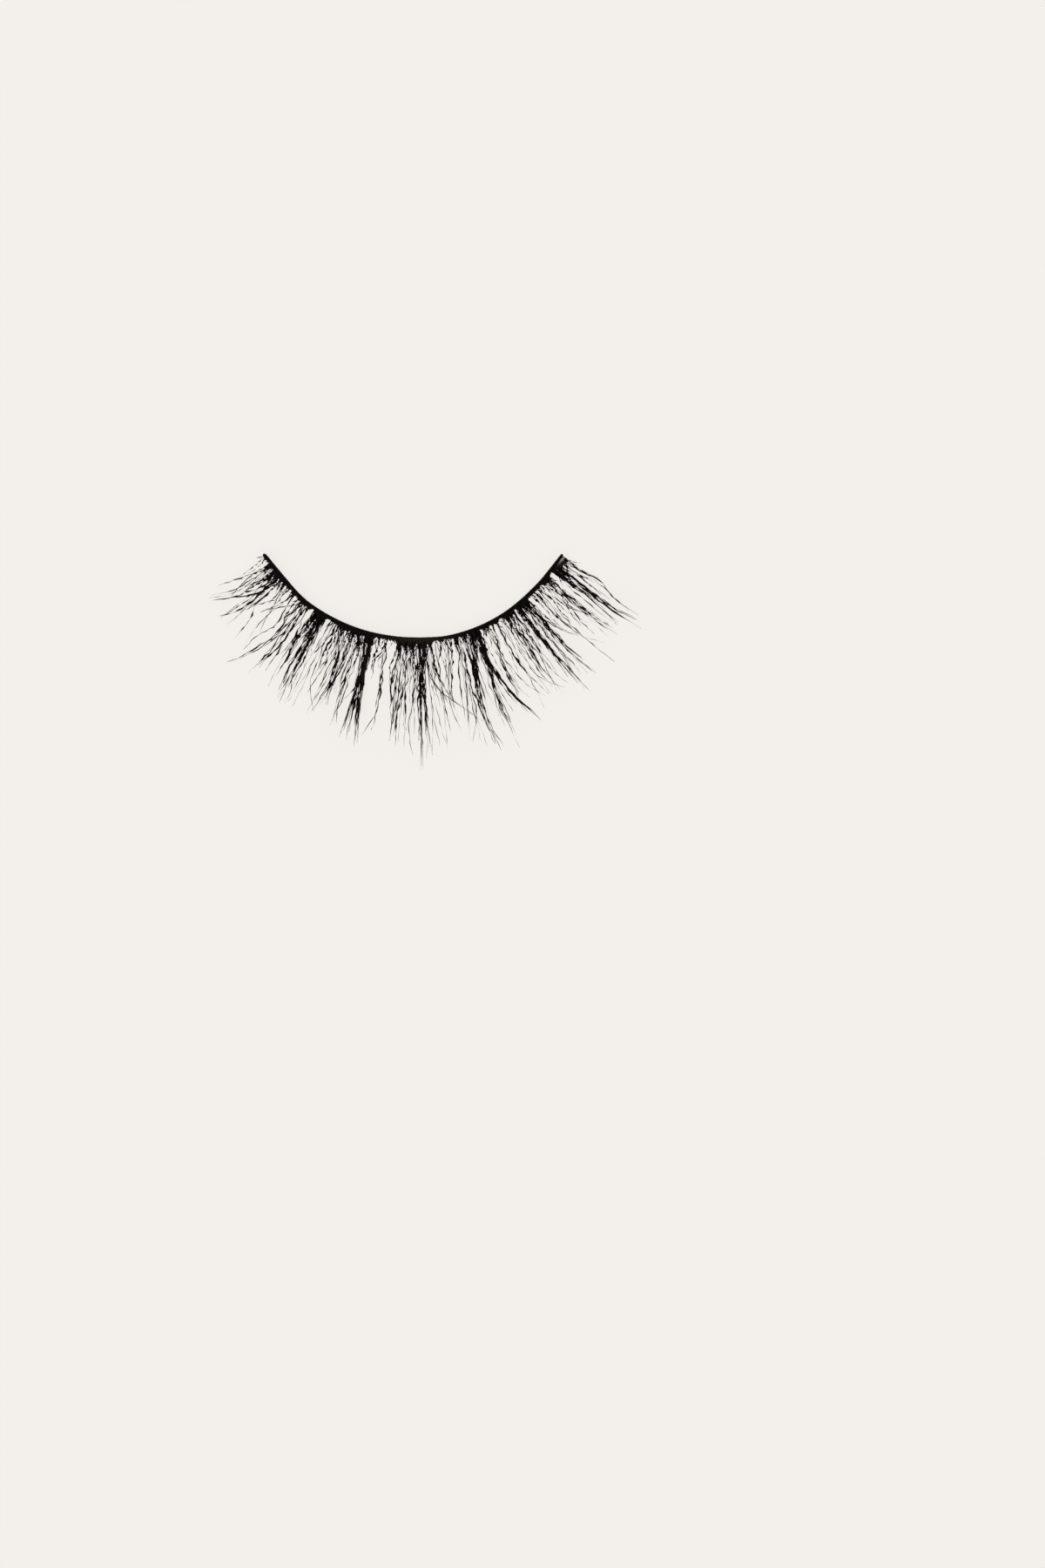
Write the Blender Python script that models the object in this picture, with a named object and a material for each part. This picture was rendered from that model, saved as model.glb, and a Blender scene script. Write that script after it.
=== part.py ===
"""False eyelash strip: a curved band with twenty tufts of curled hair.

The strip lies on its band with the hair curling upwards. Along the band, s is the length from its
middle along the inner edge, and d is the distance outwards from that edge. Both are in millimetres,
as every size and table below is, and MM turns them into Blender's metres. The hair fans towards -Y,
and the band's hollow side, which follows the eyelid, faces +Y.
"""

import math
from collections import namedtuple

import bmesh
import bpy
import numpy as np

MM = 0.001

# The band: an arc that runs on into straight ends
ARC_RADIUS = 15.87
ARC_HALF_ANGLE = math.radians(51.0)
ARC_FACETS = 29
BAND_LEFT = -16.95
BAND_RIGHT = 16.80
BAND_DEPTH = 0.36
BAND_HEIGHT = 0.70
EDGE_CHAMFER = 0.07
NUB_LENGTH = 0.28
# Each row is a section of the rounded left end: its share of the nub's length, and its size
NUB_SECTIONS = ((0.0, 0.42), (0.3, 0.78), (1.0, 1.0))

# The root pads: the film of glue that holds each tuft's hair, just outside the band
PAD_GAP = 0.04
PAD_STEP = 0.32
PAD_NOSE = 0.10
PAD_LOW = 0.20
PAD_HIGH = 0.64
ARCH_DEPTH = 0.52
SCALLOP_WIDTH = 0.28

# The hair: it leaves the band a little downwards and turns up along a circle
ROOT_DEPTH = 0.46
ROOT_HEIGHT = 0.42
ROOT_DIP = math.radians(12.0)
CURL_RADIUS = 13.3
CURL_SPREAD = 0.9
CURL_STEP = 2.4
LOCK_SIDES = 6
LOCK_STEP = 1.25
LOCK_THICKNESS = 0.62
THINNEST_LOCK = 0.11
THICKEST_LOCK = 0.22
TIP_SHARE = 0.16
TAPER_POWER = 1.7

Tuft = namedtuple("Tuft", "name start end film")
TUFTS = [Tuft(*row) for row in (
    ("short_tuft_1", -16.80, -16.02, 0.50),
    ("long_tuft_1", -15.86, -13.34, 1.00),
    ("short_tuft_2", -13.22, -11.60, 0.70),
    ("long_tuft_2", -11.48, -9.94, 0.90),
    ("long_tuft_3", -9.82, -8.50, 1.30),
    ("short_tuft_3", -8.38, -7.34, 0.62),
    ("long_tuft_4", -7.22, -5.56, 0.78),
    ("long_tuft_5", -5.44, -3.68, 1.05),
    ("short_tuft_4", -3.52, -1.76, 0.60),
    ("long_tuft_6", -1.62, 1.66, 1.05),
    ("short_tuft_5", 1.80, 3.44, 0.66),
    ("long_tuft_7", 3.56, 5.44, 0.95),
    ("long_tuft_8", 5.56, 6.40, 1.10),
    ("short_tuft_6", 6.54, 8.36, 0.80),
    ("long_tuft_9", 8.50, 9.96, 0.90),
    ("long_tuft_10", 10.08, 11.52, 1.15),
    ("short_tuft_7", 11.68, 13.24, 0.60),
    ("long_tuft_11", 13.38, 14.52, 0.85),
    ("long_tuft_12", 14.92, 15.92, 1.25),
    ("short_tuft_8", 16.04, 16.74, 0.62),
)]

# The locks: length is the reach outwards and width is across the root. The last five columns are
# the place along the band at the root, at a quarter, a half and three quarters of the length, and
# at the tip.
Lock = namedtuple("Lock", "tuft length width root quarter half three_quarters tip")
LOCKS = [Lock(*row) for row in (
    ("short_tuft_1", 3.0, 0.14, -16.60, -16.70, -16.80, -16.90, -17.00),
    ("short_tuft_1", 5.2, 0.22, -16.35, -16.10, -16.25, -16.62, -17.20),
    ("long_tuft_1", 6.4, 0.36, -15.60, -15.50, -15.35, -15.70, -16.40),
    ("long_tuft_1", 4.0, 0.26, -15.10, -15.02, -15.12, -15.30, -15.42),
    ("long_tuft_1", 5.2, 0.32, -14.85, -14.55, -14.15, -14.90, -15.50),
    ("long_tuft_1", 6.9, 0.24, -14.25, -14.20, -14.20, -14.25, -14.95),
    ("long_tuft_1", 4.6, 0.24, -13.95, -13.90, -13.90, -13.95, -13.95),
    ("long_tuft_1", 7.0, 0.24, -13.50, -13.20, -13.65, -13.20, -13.05),
    ("short_tuft_2", 5.0, 0.18, -12.95, -12.85, -12.90, -12.52, -12.20),
    ("short_tuft_2", 4.0, 0.15, -12.55, -12.42, -12.36, -12.42, -12.32),
    ("short_tuft_2", 7.3, 0.18, -12.25, -12.02, -11.95, -12.08, -12.00),
    ("short_tuft_2", 4.2, 0.15, -11.75, -11.76, -11.70, -11.58, -11.60),
    ("long_tuft_2", 9.0, 0.28, -11.30, -11.18, -10.95, -11.40, -12.10),
    ("long_tuft_2", 6.9, 0.36, -11.10, -10.90, -10.48, -10.33, -10.50),
    ("long_tuft_2", 9.7, 0.20, -10.75, -10.72, -10.65, -10.72, -11.00),
    ("long_tuft_2", 5.6, 0.26, -10.66, -10.46, -10.18, -10.15, -10.25),
    ("long_tuft_2", 7.6, 0.30, -10.40, -10.05, -9.98, -10.05, -9.98),
    ("long_tuft_3", 7.4, 0.38, -9.60, -9.58, -9.50, -9.32, -9.40),
    ("long_tuft_3", 3.4, 0.44, -9.45, -9.42, -9.34, -9.25, -9.15),
    ("long_tuft_3", 8.0, 0.28, -9.32, -9.20, -9.02, -8.98, -8.90),
    ("long_tuft_3", 8.9, 0.42, -9.12, -9.05, -8.85, -8.58, -8.40),
    ("long_tuft_3", 3.8, 0.40, -8.85, -8.80, -8.70, -8.50, -8.36),
    ("long_tuft_3", 7.9, 0.34, -8.72, -8.62, -8.48, -8.42, -8.10),
    ("short_tuft_3", 7.2, 0.15, -8.12, -8.08, -7.98, -7.78, -7.72),
    ("short_tuft_3", 4.6, 0.20, -7.85, -7.72, -7.42, -7.20, -7.08),
    ("short_tuft_3", 7.8, 0.15, -7.50, -7.42, -7.48, -7.40, -7.12),
    ("long_tuft_4", 9.4, 0.34, -7.02, -6.45, -5.98, -6.12, -6.40),
    ("long_tuft_4", 8.6, 0.18, -6.62, -6.68, -6.76, -6.78, -6.72),
    ("long_tuft_4", 4.6, 0.28, -6.30, -6.18, -6.02, -5.92, -5.84),
    ("long_tuft_4", 8.3, 0.34, -5.86, -5.66, -5.70, -5.80, -5.70),
    ("long_tuft_4", 5.4, 0.24, -5.72, -5.56, -5.44, -5.46, -5.40),
    ("long_tuft_5", 9.0, 0.30, -5.22, -5.08, -5.08, -5.05, -4.85),
    ("long_tuft_5", 4.8, 0.30, -4.96, -4.84, -4.70, -4.58, -4.55),
    ("long_tuft_5", 9.4, 0.44, -4.68, -4.36, -4.18, -4.16, -4.10),
    ("long_tuft_5", 10.2, 0.26, -4.42, -4.20, -4.00, -3.90, -3.80),
    ("long_tuft_5", 10.8, 0.48, -4.08, -3.98, -3.76, -3.60, -3.35),
    ("long_tuft_5", 5.0, 0.38, -3.88, -3.80, -3.70, -3.60, -3.54),
    ("short_tuft_4", 3.8, 0.16, -3.02, -3.10, -3.20, -3.28, -3.20),
    ("short_tuft_4", 8.8, 0.18, -2.56, -2.50, -2.48, -2.40, -2.65),
    ("short_tuft_4", 4.8, 0.14, -2.02, -2.06, -2.12, -2.14, -2.05),
    ("long_tuft_6", 7.0, 0.28, -1.40, -1.52, -1.78, -1.75, -1.80),
    ("long_tuft_6", 9.6, 0.32, -1.08, -0.86, -0.95, -1.30, -1.30),
    ("long_tuft_6", 3.8, 0.30, -0.85, -0.80, -0.72, -0.60, -0.52),
    ("long_tuft_6", 8.3, 0.28, -0.55, -0.52, -0.78, -0.72, -0.55),
    ("long_tuft_6", 5.0, 0.26, -0.32, -0.33, -0.40, -0.46, -0.42),
    ("long_tuft_6", 10.8, 0.26, -0.12, -0.10, -0.16, -0.34, -0.13),
    ("long_tuft_6", 5.6, 0.28, 0.12, 0.12, 0.10, 0.08, 0.06),
    ("long_tuft_6", 13.2, 0.48, 0.40, 0.45, 0.40, 0.43, 0.33),
    ("long_tuft_6", 9.0, 0.36, 0.80, 0.72, 0.62, 0.76, 0.72),
    ("long_tuft_6", 4.0, 0.30, 1.00, 0.95, 0.90, 0.92, 0.95),
    ("long_tuft_6", 5.6, 0.26, 1.16, 1.10, 1.12, 1.28, 1.35),
    ("long_tuft_6", 6.0, 0.26, 1.46, 1.52, 1.64, 1.92, 2.25),
    ("short_tuft_5", 2.3, 0.18, 2.50, 2.44, 2.32, 2.18, 2.06),
    ("short_tuft_5", 6.9, 0.28, 3.26, 3.14, 2.80, 2.58, 2.62),
    ("long_tuft_7", 8.3, 0.18, 3.74, 3.68, 3.32, 3.30, 3.16),
    ("long_tuft_7", 7.2, 0.32, 3.88, 3.94, 4.00, 3.96, 4.10),
    ("long_tuft_7", 3.2, 0.22, 4.26, 4.24, 4.20, 4.16, 4.12),
    ("long_tuft_7", 5.0, 0.28, 4.62, 4.56, 4.58, 4.56, 4.58),
    ("long_tuft_7", 4.6, 0.36, 4.92, 4.84, 4.74, 4.66, 4.62),
    ("long_tuft_7", 11.5, 0.48, 5.18, 4.95, 4.46, 4.50, 4.78),
    ("long_tuft_8", 9.8, 0.46, 5.78, 5.76, 6.04, 6.50, 6.90),
    ("long_tuft_8", 10.4, 0.40, 5.92, 5.86, 6.16, 6.84, 7.45),
    ("long_tuft_8", 9.8, 0.26, 6.10, 5.98, 5.76, 5.56, 5.70),
    ("long_tuft_8", 4.8, 0.26, 6.22, 6.12, 6.05, 6.00, 5.96),
    ("short_tuft_6", 8.0, 0.16, 6.74, 6.76, 6.95, 7.08, 7.55),
    ("short_tuft_6", 6.0, 0.28, 7.36, 7.25, 7.04, 6.78, 6.76),
    ("short_tuft_6", 8.6, 0.30, 7.86, 7.92, 7.86, 8.26, 8.55),
    ("short_tuft_6", 4.2, 0.17, 8.18, 8.12, 8.12, 8.16, 8.22),
    ("long_tuft_9", 8.2, 0.24, 8.84, 8.74, 8.74, 8.74, 8.86),
    ("long_tuft_9", 8.0, 0.34, 9.16, 9.14, 9.15, 9.06, 9.30),
    ("long_tuft_9", 5.8, 0.24, 9.38, 9.36, 9.32, 9.30, 9.28),
    ("long_tuft_9", 8.6, 0.28, 9.56, 9.58, 9.50, 9.60, 9.88),
    ("long_tuft_9", 4.0, 0.24, 9.78, 9.76, 9.74, 9.82, 9.84),
    ("long_tuft_10", 6.4, 0.24, 10.22, 10.18, 10.14, 10.12, 10.16),
    ("long_tuft_10", 10.4, 0.46, 10.34, 10.30, 10.34, 10.38, 10.50),
    ("long_tuft_10", 8.4, 0.22, 10.64, 10.70, 10.68, 10.80, 10.90),
    ("long_tuft_10", 8.0, 0.38, 10.92, 11.00, 11.18, 11.16, 11.50),
    ("long_tuft_10", 5.2, 0.24, 11.14, 11.20, 11.30, 11.36, 11.36),
    ("long_tuft_10", 7.8, 0.28, 11.34, 11.46, 11.80, 12.05, 12.60),
    ("short_tuft_7", 2.2, 0.16, 11.88, 11.92, 11.95, 12.00, 12.05),
    ("short_tuft_7", 4.7, 0.20, 12.34, 12.34, 12.22, 12.22, 12.36),
    ("short_tuft_7", 3.8, 0.14, 12.60, 12.60, 12.56, 12.52, 12.56),
    ("short_tuft_7", 4.6, 0.24, 12.88, 12.92, 12.96, 12.86, 12.90),
    ("long_tuft_11", 7.0, 0.30, 13.62, 13.62, 13.36, 13.18, 13.02),
    ("long_tuft_11", 8.6, 0.22, 13.86, 13.78, 13.82, 13.92, 14.02),
    ("long_tuft_11", 4.6, 0.24, 13.96, 13.90, 13.86, 13.84, 13.86),
    ("long_tuft_11", 8.0, 0.36, 14.16, 14.04, 14.08, 14.12, 14.30),
    ("long_tuft_12", 8.0, 0.42, 15.20, 15.12, 15.20, 15.10, 14.90),
    ("long_tuft_12", 5.8, 0.28, 15.30, 15.28, 15.30, 15.32, 15.26),
    ("long_tuft_12", 5.0, 0.28, 15.42, 15.45, 15.50, 15.54, 15.46),
    ("long_tuft_12", 10.2, 0.36, 15.64, 15.62, 15.72, 15.82, 16.12),
    ("short_tuft_8", 4.0, 0.20, 16.22, 16.18, 16.16, 16.30, 16.42),
    ("short_tuft_8", 7.9, 0.26, 16.46, 16.62, 16.92, 16.66, 16.42),
)]

# Each material: colour, roughness
BAND_FINISH = ((0.012, 0.010, 0.009), 0.55)
HAIR_FINISH = ((0.009, 0.007, 0.006), 0.40)


def band_frame(s):
    """Point on the inner edge, the direction along it, and the direction outwards, at length s."""
    angle = max(-ARC_HALF_ANGLE, min(ARC_HALF_ANGLE, s / ARC_RADIUS))
    beyond = s - angle * ARC_RADIUS
    along = np.array((math.cos(angle), math.sin(angle), 0.0))
    outward = np.array((math.sin(angle), -math.cos(angle), 0.0))
    edge = np.array((ARC_RADIUS * math.sin(angle), ARC_RADIUS * (1.0 - math.cos(angle)), 0.0))
    return edge + beyond * along, along, outward


def place(s, d, z):
    """The point d outwards from the inner edge at length s, and z above the underside."""
    edge, _, outward = band_frame(s)
    return edge + outward * d + np.array((0.0, 0.0, z))


def tube_mesh(name, rings, tip=None):
    """A closed body through rings of equal count. It has flat ends, or runs out to the tip's point."""
    bm = bmesh.new()
    loops = [[bm.verts.new(point * MM) for point in ring] for ring in rings]
    for first, second in zip(loops, loops[1:]):
        count = len(first)
        for i in range(count):
            j = (i + 1) % count
            bm.faces.new((first[i], first[j], second[j], second[i]))
    bm.faces.new(loops[0][::-1])
    last = loops[-1]
    if tip is None:
        bm.faces.new(last)
    else:
        end = bm.verts.new(tip * MM)
        for i in range(len(last)):
            bm.faces.new((last[i], last[(i + 1) % len(last)], end))
    bmesh.ops.recalc_face_normals(bm, faces=bm.faces)
    mesh = bpy.data.meshes.new(name)
    bm.to_mesh(mesh)
    bm.free()
    return mesh


def band_mesh():
    """The band: an eight-sided section carried along the arc, with a nub at its left end."""
    low, high = EDGE_CHAMFER, BAND_HEIGHT - EDGE_CHAMFER
    near, far = EDGE_CHAMFER, BAND_DEPTH - EDGE_CHAMFER
    section = ((0.0, low), (0.0, high), (near, BAND_HEIGHT), (far, BAND_HEIGHT),
               (BAND_DEPTH, high), (BAND_DEPTH, low), (far, 0.0), (near, 0.0))
    arc_end = ARC_RADIUS * ARC_HALF_ANGLE
    places = [(BAND_LEFT + share * NUB_LENGTH, size) for share, size in NUB_SECTIONS]
    places += [(s, 1.0) for s in np.linspace(-arc_end, arc_end, ARC_FACETS + 1)]
    places.append((BAND_RIGHT, 1.0))
    middle = BAND_DEPTH / 2.0
    rings = []
    for s, size in places:
        rings.append([place(s, middle + (d - middle) * size, z * size) for d, z in section])
    return tube_mesh("band", rings)


def pad_mesh(tuft, roots):
    """A tuft's root pad: a bar beside the band whose front edge swells at each lock's root."""
    count = max(3, round((tuft.end - tuft.start) / PAD_STEP))
    back = BAND_DEPTH + PAD_GAP
    centre = (PAD_LOW + PAD_HIGH) / 2.0
    rings = []
    for s in np.linspace(tuft.start, tuft.end, count + 1):
        swell = max(math.exp(-((s - root) / SCALLOP_WIDTH) ** 2) for root in roots)
        front = ARCH_DEPTH + (tuft.film - ARCH_DEPTH) * swell
        corner = max(back + 0.02, front - PAD_NOSE)
        section = ((back, PAD_LOW), (back, PAD_HIGH), (corner, PAD_HIGH),
                   (front, centre), (corner, PAD_LOW))
        rings.append([place(s, d, z) for d, z in section])
    return tube_mesh(tuft.name, rings)


def lock_path(lock, curl_radius, count):
    """Points from root to tip. Across, a smooth curve goes through the five places of the row.
    Upwards, the height is that of a circle that the hair follows from its dip at the root."""
    across = (lock.root, lock.quarter, lock.half, lock.three_quarters, lock.tip)
    padded = (across[0],) + across + (2.0 * across[4] - across[3],)
    points = []
    for t in np.linspace(0.0, 1.0, count):
        k = min(3, int(t * 4.0))
        u = t * 4.0 - k
        a, b, c, d = padded[k:k + 4]
        s = b + 0.5 * u * (c - a + u * (2.0 * a - 5.0 * b + 4.0 * c - d + u * (3.0 * (b - c) + d - a)))
        reach = ROOT_DEPTH + (lock.length - ROOT_DEPTH) * t
        turned = math.asin(reach / curl_radius - math.sin(ROOT_DIP))
        height = ROOT_HEIGHT + curl_radius * (math.cos(ROOT_DIP) - math.cos(turned))
        points.append(place(s, reach, height))
    return points


def lock_mesh(lock, curl_radius):
    """A lock: a flat six-sided section that shrinks from root to tip along the lock's path."""
    count = max(5, round(lock.length / LOCK_STEP) + 1)
    points = lock_path(lock, curl_radius, count)
    thickness = min(THICKEST_LOCK, max(THINNEST_LOCK, lock.width * LOCK_THICKNESS))
    rings = []
    for k in range(count - 1):
        ahead = points[k + 1] - points[max(0, k - 1)]
        side = np.array((-ahead[1], ahead[0], 0.0))
        side /= np.linalg.norm(side)
        up = np.cross(ahead / np.linalg.norm(ahead), side)
        share = TIP_SHARE + (1.0 - TIP_SHARE) * (1.0 - (k / (count - 1.0)) ** TAPER_POWER)
        ring = []
        for i in range(LOCK_SIDES):
            turn = 2.0 * math.pi * i / LOCK_SIDES
            offset = side * math.cos(turn) * lock.width + up * math.sin(turn) * thickness
            ring.append(points[k] + offset * 0.5 * share)
        rings.append(ring)
    return tube_mesh("lock", rings, tip=points[-1])


def finish(name, look):
    """A material with the given colour and roughness."""
    colour, roughness = look
    material = bpy.data.materials.new(name)
    material.use_nodes = True
    shader = material.node_tree.nodes["Principled BSDF"]
    shader.inputs["Base Color"].default_value = (*colour, 1.0)
    shader.inputs["Roughness"].default_value = roughness
    return material


def add_piece(name, mesh, look, parent):
    """An object with its own material, held by the parent."""
    mesh.shade_smooth()
    mesh.set_sharp_from_angle(angle=math.radians(35.0))
    piece = bpy.data.objects.new(name, mesh)
    piece.data.materials.append(finish(name, look))
    piece.parent = parent
    bpy.context.scene.collection.objects.link(piece)
    return piece


def add_tuft(tuft, parent):
    """A tuft: its root pad with its locks fused to it."""
    locks = [lock for lock in LOCKS if lock.tuft == tuft.name]
    piece = add_piece(tuft.name, pad_mesh(tuft, [lock.root for lock in locks]), HAIR_FINISH, parent)
    for i, lock in enumerate(locks):
        curl_radius = CURL_RADIUS + CURL_SPREAD * math.sin(CURL_STEP * LOCKS.index(lock))
        cutter = bpy.data.objects.new(f"{tuft.name}_lock_{i + 1}", lock_mesh(lock, curl_radius))
        cutter.parent = parent
        cutter.hide_render = True
        cutter.display_type = "WIRE"
        bpy.context.scene.collection.objects.link(cutter)
        fuse = piece.modifiers.new(f"fuse lock {i + 1}", "BOOLEAN")
        fuse.operation = "UNION"
        fuse.solver = "EXACT"
        fuse.object = cutter
    return piece


def centre_on_floor(holder):
    """Move the holder so that the strip's box is centred on the origin and stands on it."""
    points = np.array([vertex.co for piece in holder.children for vertex in piece.data.vertices])
    low, high = points.min(axis=0), points.max(axis=0)
    holder.location = (-(low[0] + high[0]) / 2.0, -(low[1] + high[1]) / 2.0, -low[2])


def main():
    for old in list(bpy.data.objects):
        bpy.data.objects.remove(old, do_unlink=True)
    strip = bpy.data.objects.new("strip", None)
    bpy.context.scene.collection.objects.link(strip)
    add_piece("band", band_mesh(), BAND_FINISH, strip)
    for tuft in TUFTS:
        add_tuft(tuft, strip)
    centre_on_floor(strip)


main()
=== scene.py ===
import math
from collections import namedtuple

import bpy
import numpy as np
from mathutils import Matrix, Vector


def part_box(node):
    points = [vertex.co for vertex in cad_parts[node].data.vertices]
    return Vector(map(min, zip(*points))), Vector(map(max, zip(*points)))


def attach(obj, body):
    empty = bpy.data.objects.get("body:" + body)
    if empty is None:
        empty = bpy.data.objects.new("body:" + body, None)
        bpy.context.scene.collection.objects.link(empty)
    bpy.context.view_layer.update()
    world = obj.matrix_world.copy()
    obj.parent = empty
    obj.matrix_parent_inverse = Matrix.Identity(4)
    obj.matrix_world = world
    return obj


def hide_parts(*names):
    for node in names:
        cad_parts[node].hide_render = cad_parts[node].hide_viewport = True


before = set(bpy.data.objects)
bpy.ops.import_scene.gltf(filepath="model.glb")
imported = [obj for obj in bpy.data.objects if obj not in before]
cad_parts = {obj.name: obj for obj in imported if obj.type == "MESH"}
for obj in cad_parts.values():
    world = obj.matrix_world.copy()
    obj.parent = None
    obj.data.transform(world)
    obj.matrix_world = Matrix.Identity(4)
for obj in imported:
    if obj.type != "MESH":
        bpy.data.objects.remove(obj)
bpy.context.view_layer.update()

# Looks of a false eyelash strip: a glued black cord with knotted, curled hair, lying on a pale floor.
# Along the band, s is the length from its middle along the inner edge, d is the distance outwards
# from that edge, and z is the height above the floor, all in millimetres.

MM = 0.001

# The band's line: an arc that runs on into straight ends
ARC_RADIUS = 15.87
ARC_HALF_ANGLE = math.radians(51.0)
ARC_FACETS = 29
BAND_LEFT = -16.95
BAND_RIGHT = 16.80
BAND_DEPTH = 0.36
BAND_HEIGHT = 0.70

# The band's course: at places along it, how far outwards its inner edge lies from the true arc,
# and how deep the cord is there
Course = namedtuple("Course", "s outwards depth")
COURSE = [Course(*row) for row in (
    (-16.9, 0.02, 0.36), (-16.5, 0.00, 0.42), (-16.1, 0.00, 0.29), (-15.7, 0.00, 0.35),
    (-13.5, -0.03, 0.36), (-11.9, 0.05, 0.35), (-10.9, 0.08, 0.34), (-9.4, 0.04, 0.35),
    (-8.0, 0.00, 0.36), (-5.0, -0.04, 0.38), (-2.4, -0.07, 0.42), (0.0, -0.055, 0.43),
    (1.5, -0.005, 0.42), (2.6, 0.075, 0.36), (3.6, 0.095, 0.35), (5.2, 0.09, 0.34),
    (7.6, 0.07, 0.34), (9.2, 0.04, 0.35), (10.4, -0.01, 0.37), (12.2, -0.05, 0.38),
    (14.0, -0.02, 0.34), (15.4, -0.03, 0.32), (16.1, -0.04, 0.27), (16.8, -0.045, 0.26),
)]

# The cord inside the band: a flattened round section with the ridges of its twist, which end where it
# rounds off towards both ends
CORD_STEP = 0.05
CORD_SIDES = 24
CORD_SQUARENESS = 2.5
TWIST_LENGTH = 0.52
TWIST_STRANDS = 3
TWIST_DEPTH = 0.045
LEFT_ROUNDING = 0.30
LEFT_SECTIONS = 8
RIGHT_ROUNDING = 0.16
RIGHT_SECTIONS = 7
RIGHT_BLUNTNESS = 0.35
END_HEIGHT = 0.35
TWISTED_FROM = 0.98

# The thread that binds the hair to the cord: it starts and stops a little inside the band's ends
STITCH_INSET_LEFT = 0.4
STITCH_INSET_RIGHT = 0.2
STITCH_SPACING = 0.29
STITCH_JITTER = 0.035
STITCH_RADIUS = 0.026
STITCH_SLANT = 0.16
STITCH_SLANT_SHARES = (0.6, 1.3)
STITCH_SECTIONS = 14
STITCH_SIDES = 4
STITCH_SEED = 41

# Where a brown sheen is painted on the band's black, round its middle, and the share of that painted
# sheen on the film
SHEEN_MIDDLE = 0.2
SHEEN_SPREAD = 2.6
SHEEN_ON_FILM = 0.6

# The glue film at the roots: from inside the cord out to a scalloped edge, with a waver along that
# edge and grooves over its face
FILM_INSET_LEFT = 0.34
FILM_INSET_RIGHT = 0.10
FILM_START = 0.20
FILM_STEP = 0.045
FILM_SIDES = 20
FILM_AT_CORD = 0.20
FILM_AT_EDGE = 0.035
ARCH_RISE = 0.30
FILM_BARE_EDGE = 0.42
FILM_SHOULDER = 0.10
FILM_NARROWEST = 0.30
COARSE_WAVER = 0.09
FINE_WAVER = 0.05
COARSE_GROOVE = 0.16
FINE_GROOVE = 0.10
FILM_THINS = 0.8

# The hair's curl: it leaves the band a little downwards and turns up along a circle, which differs
# from lock to lock by a sine of the lock's number
ROOT_DEPTH = 0.26
ROOT_HEIGHT = 0.42
ROOT_DIP = math.radians(12.0)
CURL_RADIUS = 13.3
CURL_SPREAD = 0.9
CURL_STEP = 2.4
ROOT_LIFT = 0.5
TIP_LIFT = 1.6
LOWEST_HAIR = 0.015
SOFT_LANDING = 0.06

# Single hairs: the thickness of each kind in millimetres, how many make up a lock of a given width and
# length, how a lock narrows, and how many short hairs fill a square millimetre of a tuft's foot
HAIR_SEED = 1
HAIR_SECTIONS = 20
HAIR_SIDES = 3
THICK_HAIR = 0.157
THIN_HAIR = 0.080
STRAY_HAIR = 0.076
LOCK_FULLNESS = 13.8
LOCK_FULLNESS_POWER = 1.5
LOCK_FEWEST = 0.4
FULL_LENGTH = 9.0
TIP_SHARE = 0.16
TAPER_POWER = 1.7
SHORT_HAIRS = 10.0
SHORT_HAIRS_FROM = 0.12
SHORT_HAIR_SHARE = 0.8

# The hairs of a lock: their lengths as shares of the lock's, the spread of their curls, how they lie
# across its root and fan out, the middle and spread of their waves, and the range of their thickness
LOCK_LENGTH = 0.99
LOCK_LENGTH_SPREAD = 0.36
LOCK_LONGEST = 1.03
LOCK_CURL_SPREAD = 0.35
LOCK_HEART = 0.5
LOCK_HALF_WIDTH = 0.60
LOCK_HEIGHT = 0.5
LOCK_FAN = 0.12
LOCK_FAN_SPREAD = 0.10
LOCK_WAVE = (0.062, 0.024)
LOCK_THICKNESS = (0.72, 1.22)

# Stray, free and short hairs: how unlike their curls are, the middle and spread of their waves, how
# far they lie, lean, bow or fan aside, and the ranges of their rise, length and thickness
STRAY_CURL_SPREAD = 0.6
STRAY_ASIDE = 0.05
STRAY_RISE = (-0.05, 0.20)
STRAY_FAN = 0.06
STRAY_WAVE = (0.03, 0.015)
STRAY_THICKNESS = (0.9, 1.3)
LOOSE_CURL_SPREAD = 0.8
LOOSE_WAVE = (0.05, 0.02)
FREE_LEAN = 0.34
FREE_BOW = 0.16
FREE_SHORTEST = 0.36
FREE_LENGTHS = 0.66
FREE_RISE = (-0.05, 0.25)
FREE_THICKNESS = (0.70, 1.25)
SHORT_LEAN = 0.22
SHORT_BOW = 0.10
SHORT_LENGTHS = (0.05, 0.90)
SHORT_RISE = (-0.10, 0.20)
SHORT_THICKNESS = (0.7, 1.1)

# How a hair strays from its lock's curve: small kinks, a slow wave and a quick wave whose lengths are
# drawn from these ranges, all coming in over the first millimetres and fading towards the tip
KINK = 0.064
KINK_FADE = 0.75
KINK_POWER = 0.7
SETTLE_REACH = 1.6
SLOW_WAVE = (2.0, 4.0)
QUICK_WAVE = (1.0, 1.9)
QUICK_SWAY = 0.75
QUICK_LIFT = 0.50
WAVE_RISE = 1.2
WAVE_FADE = 0.55
FAN_POWER = 1.8

# A hair's thickness: it swells towards its middle, tapers to its tip and is thicker where glue clings
# to it near the root. All are shares of its own thickness.
SLIM_ROOT = 0.64
BELLY = 0.42
BELLY_POWER = 1.4
TAPER = 0.66
TIP_POWER = 3.4
GLUE_CLING = 0.4
CLING_REACH = 0.95
CLING_SPREAD = 0.45

# How thin and thick it gets by chance from place to place, and the power that makes thick places rare
THINNEST = 0.16
THICKEST = 1.85
RARER = 1.4

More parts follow.
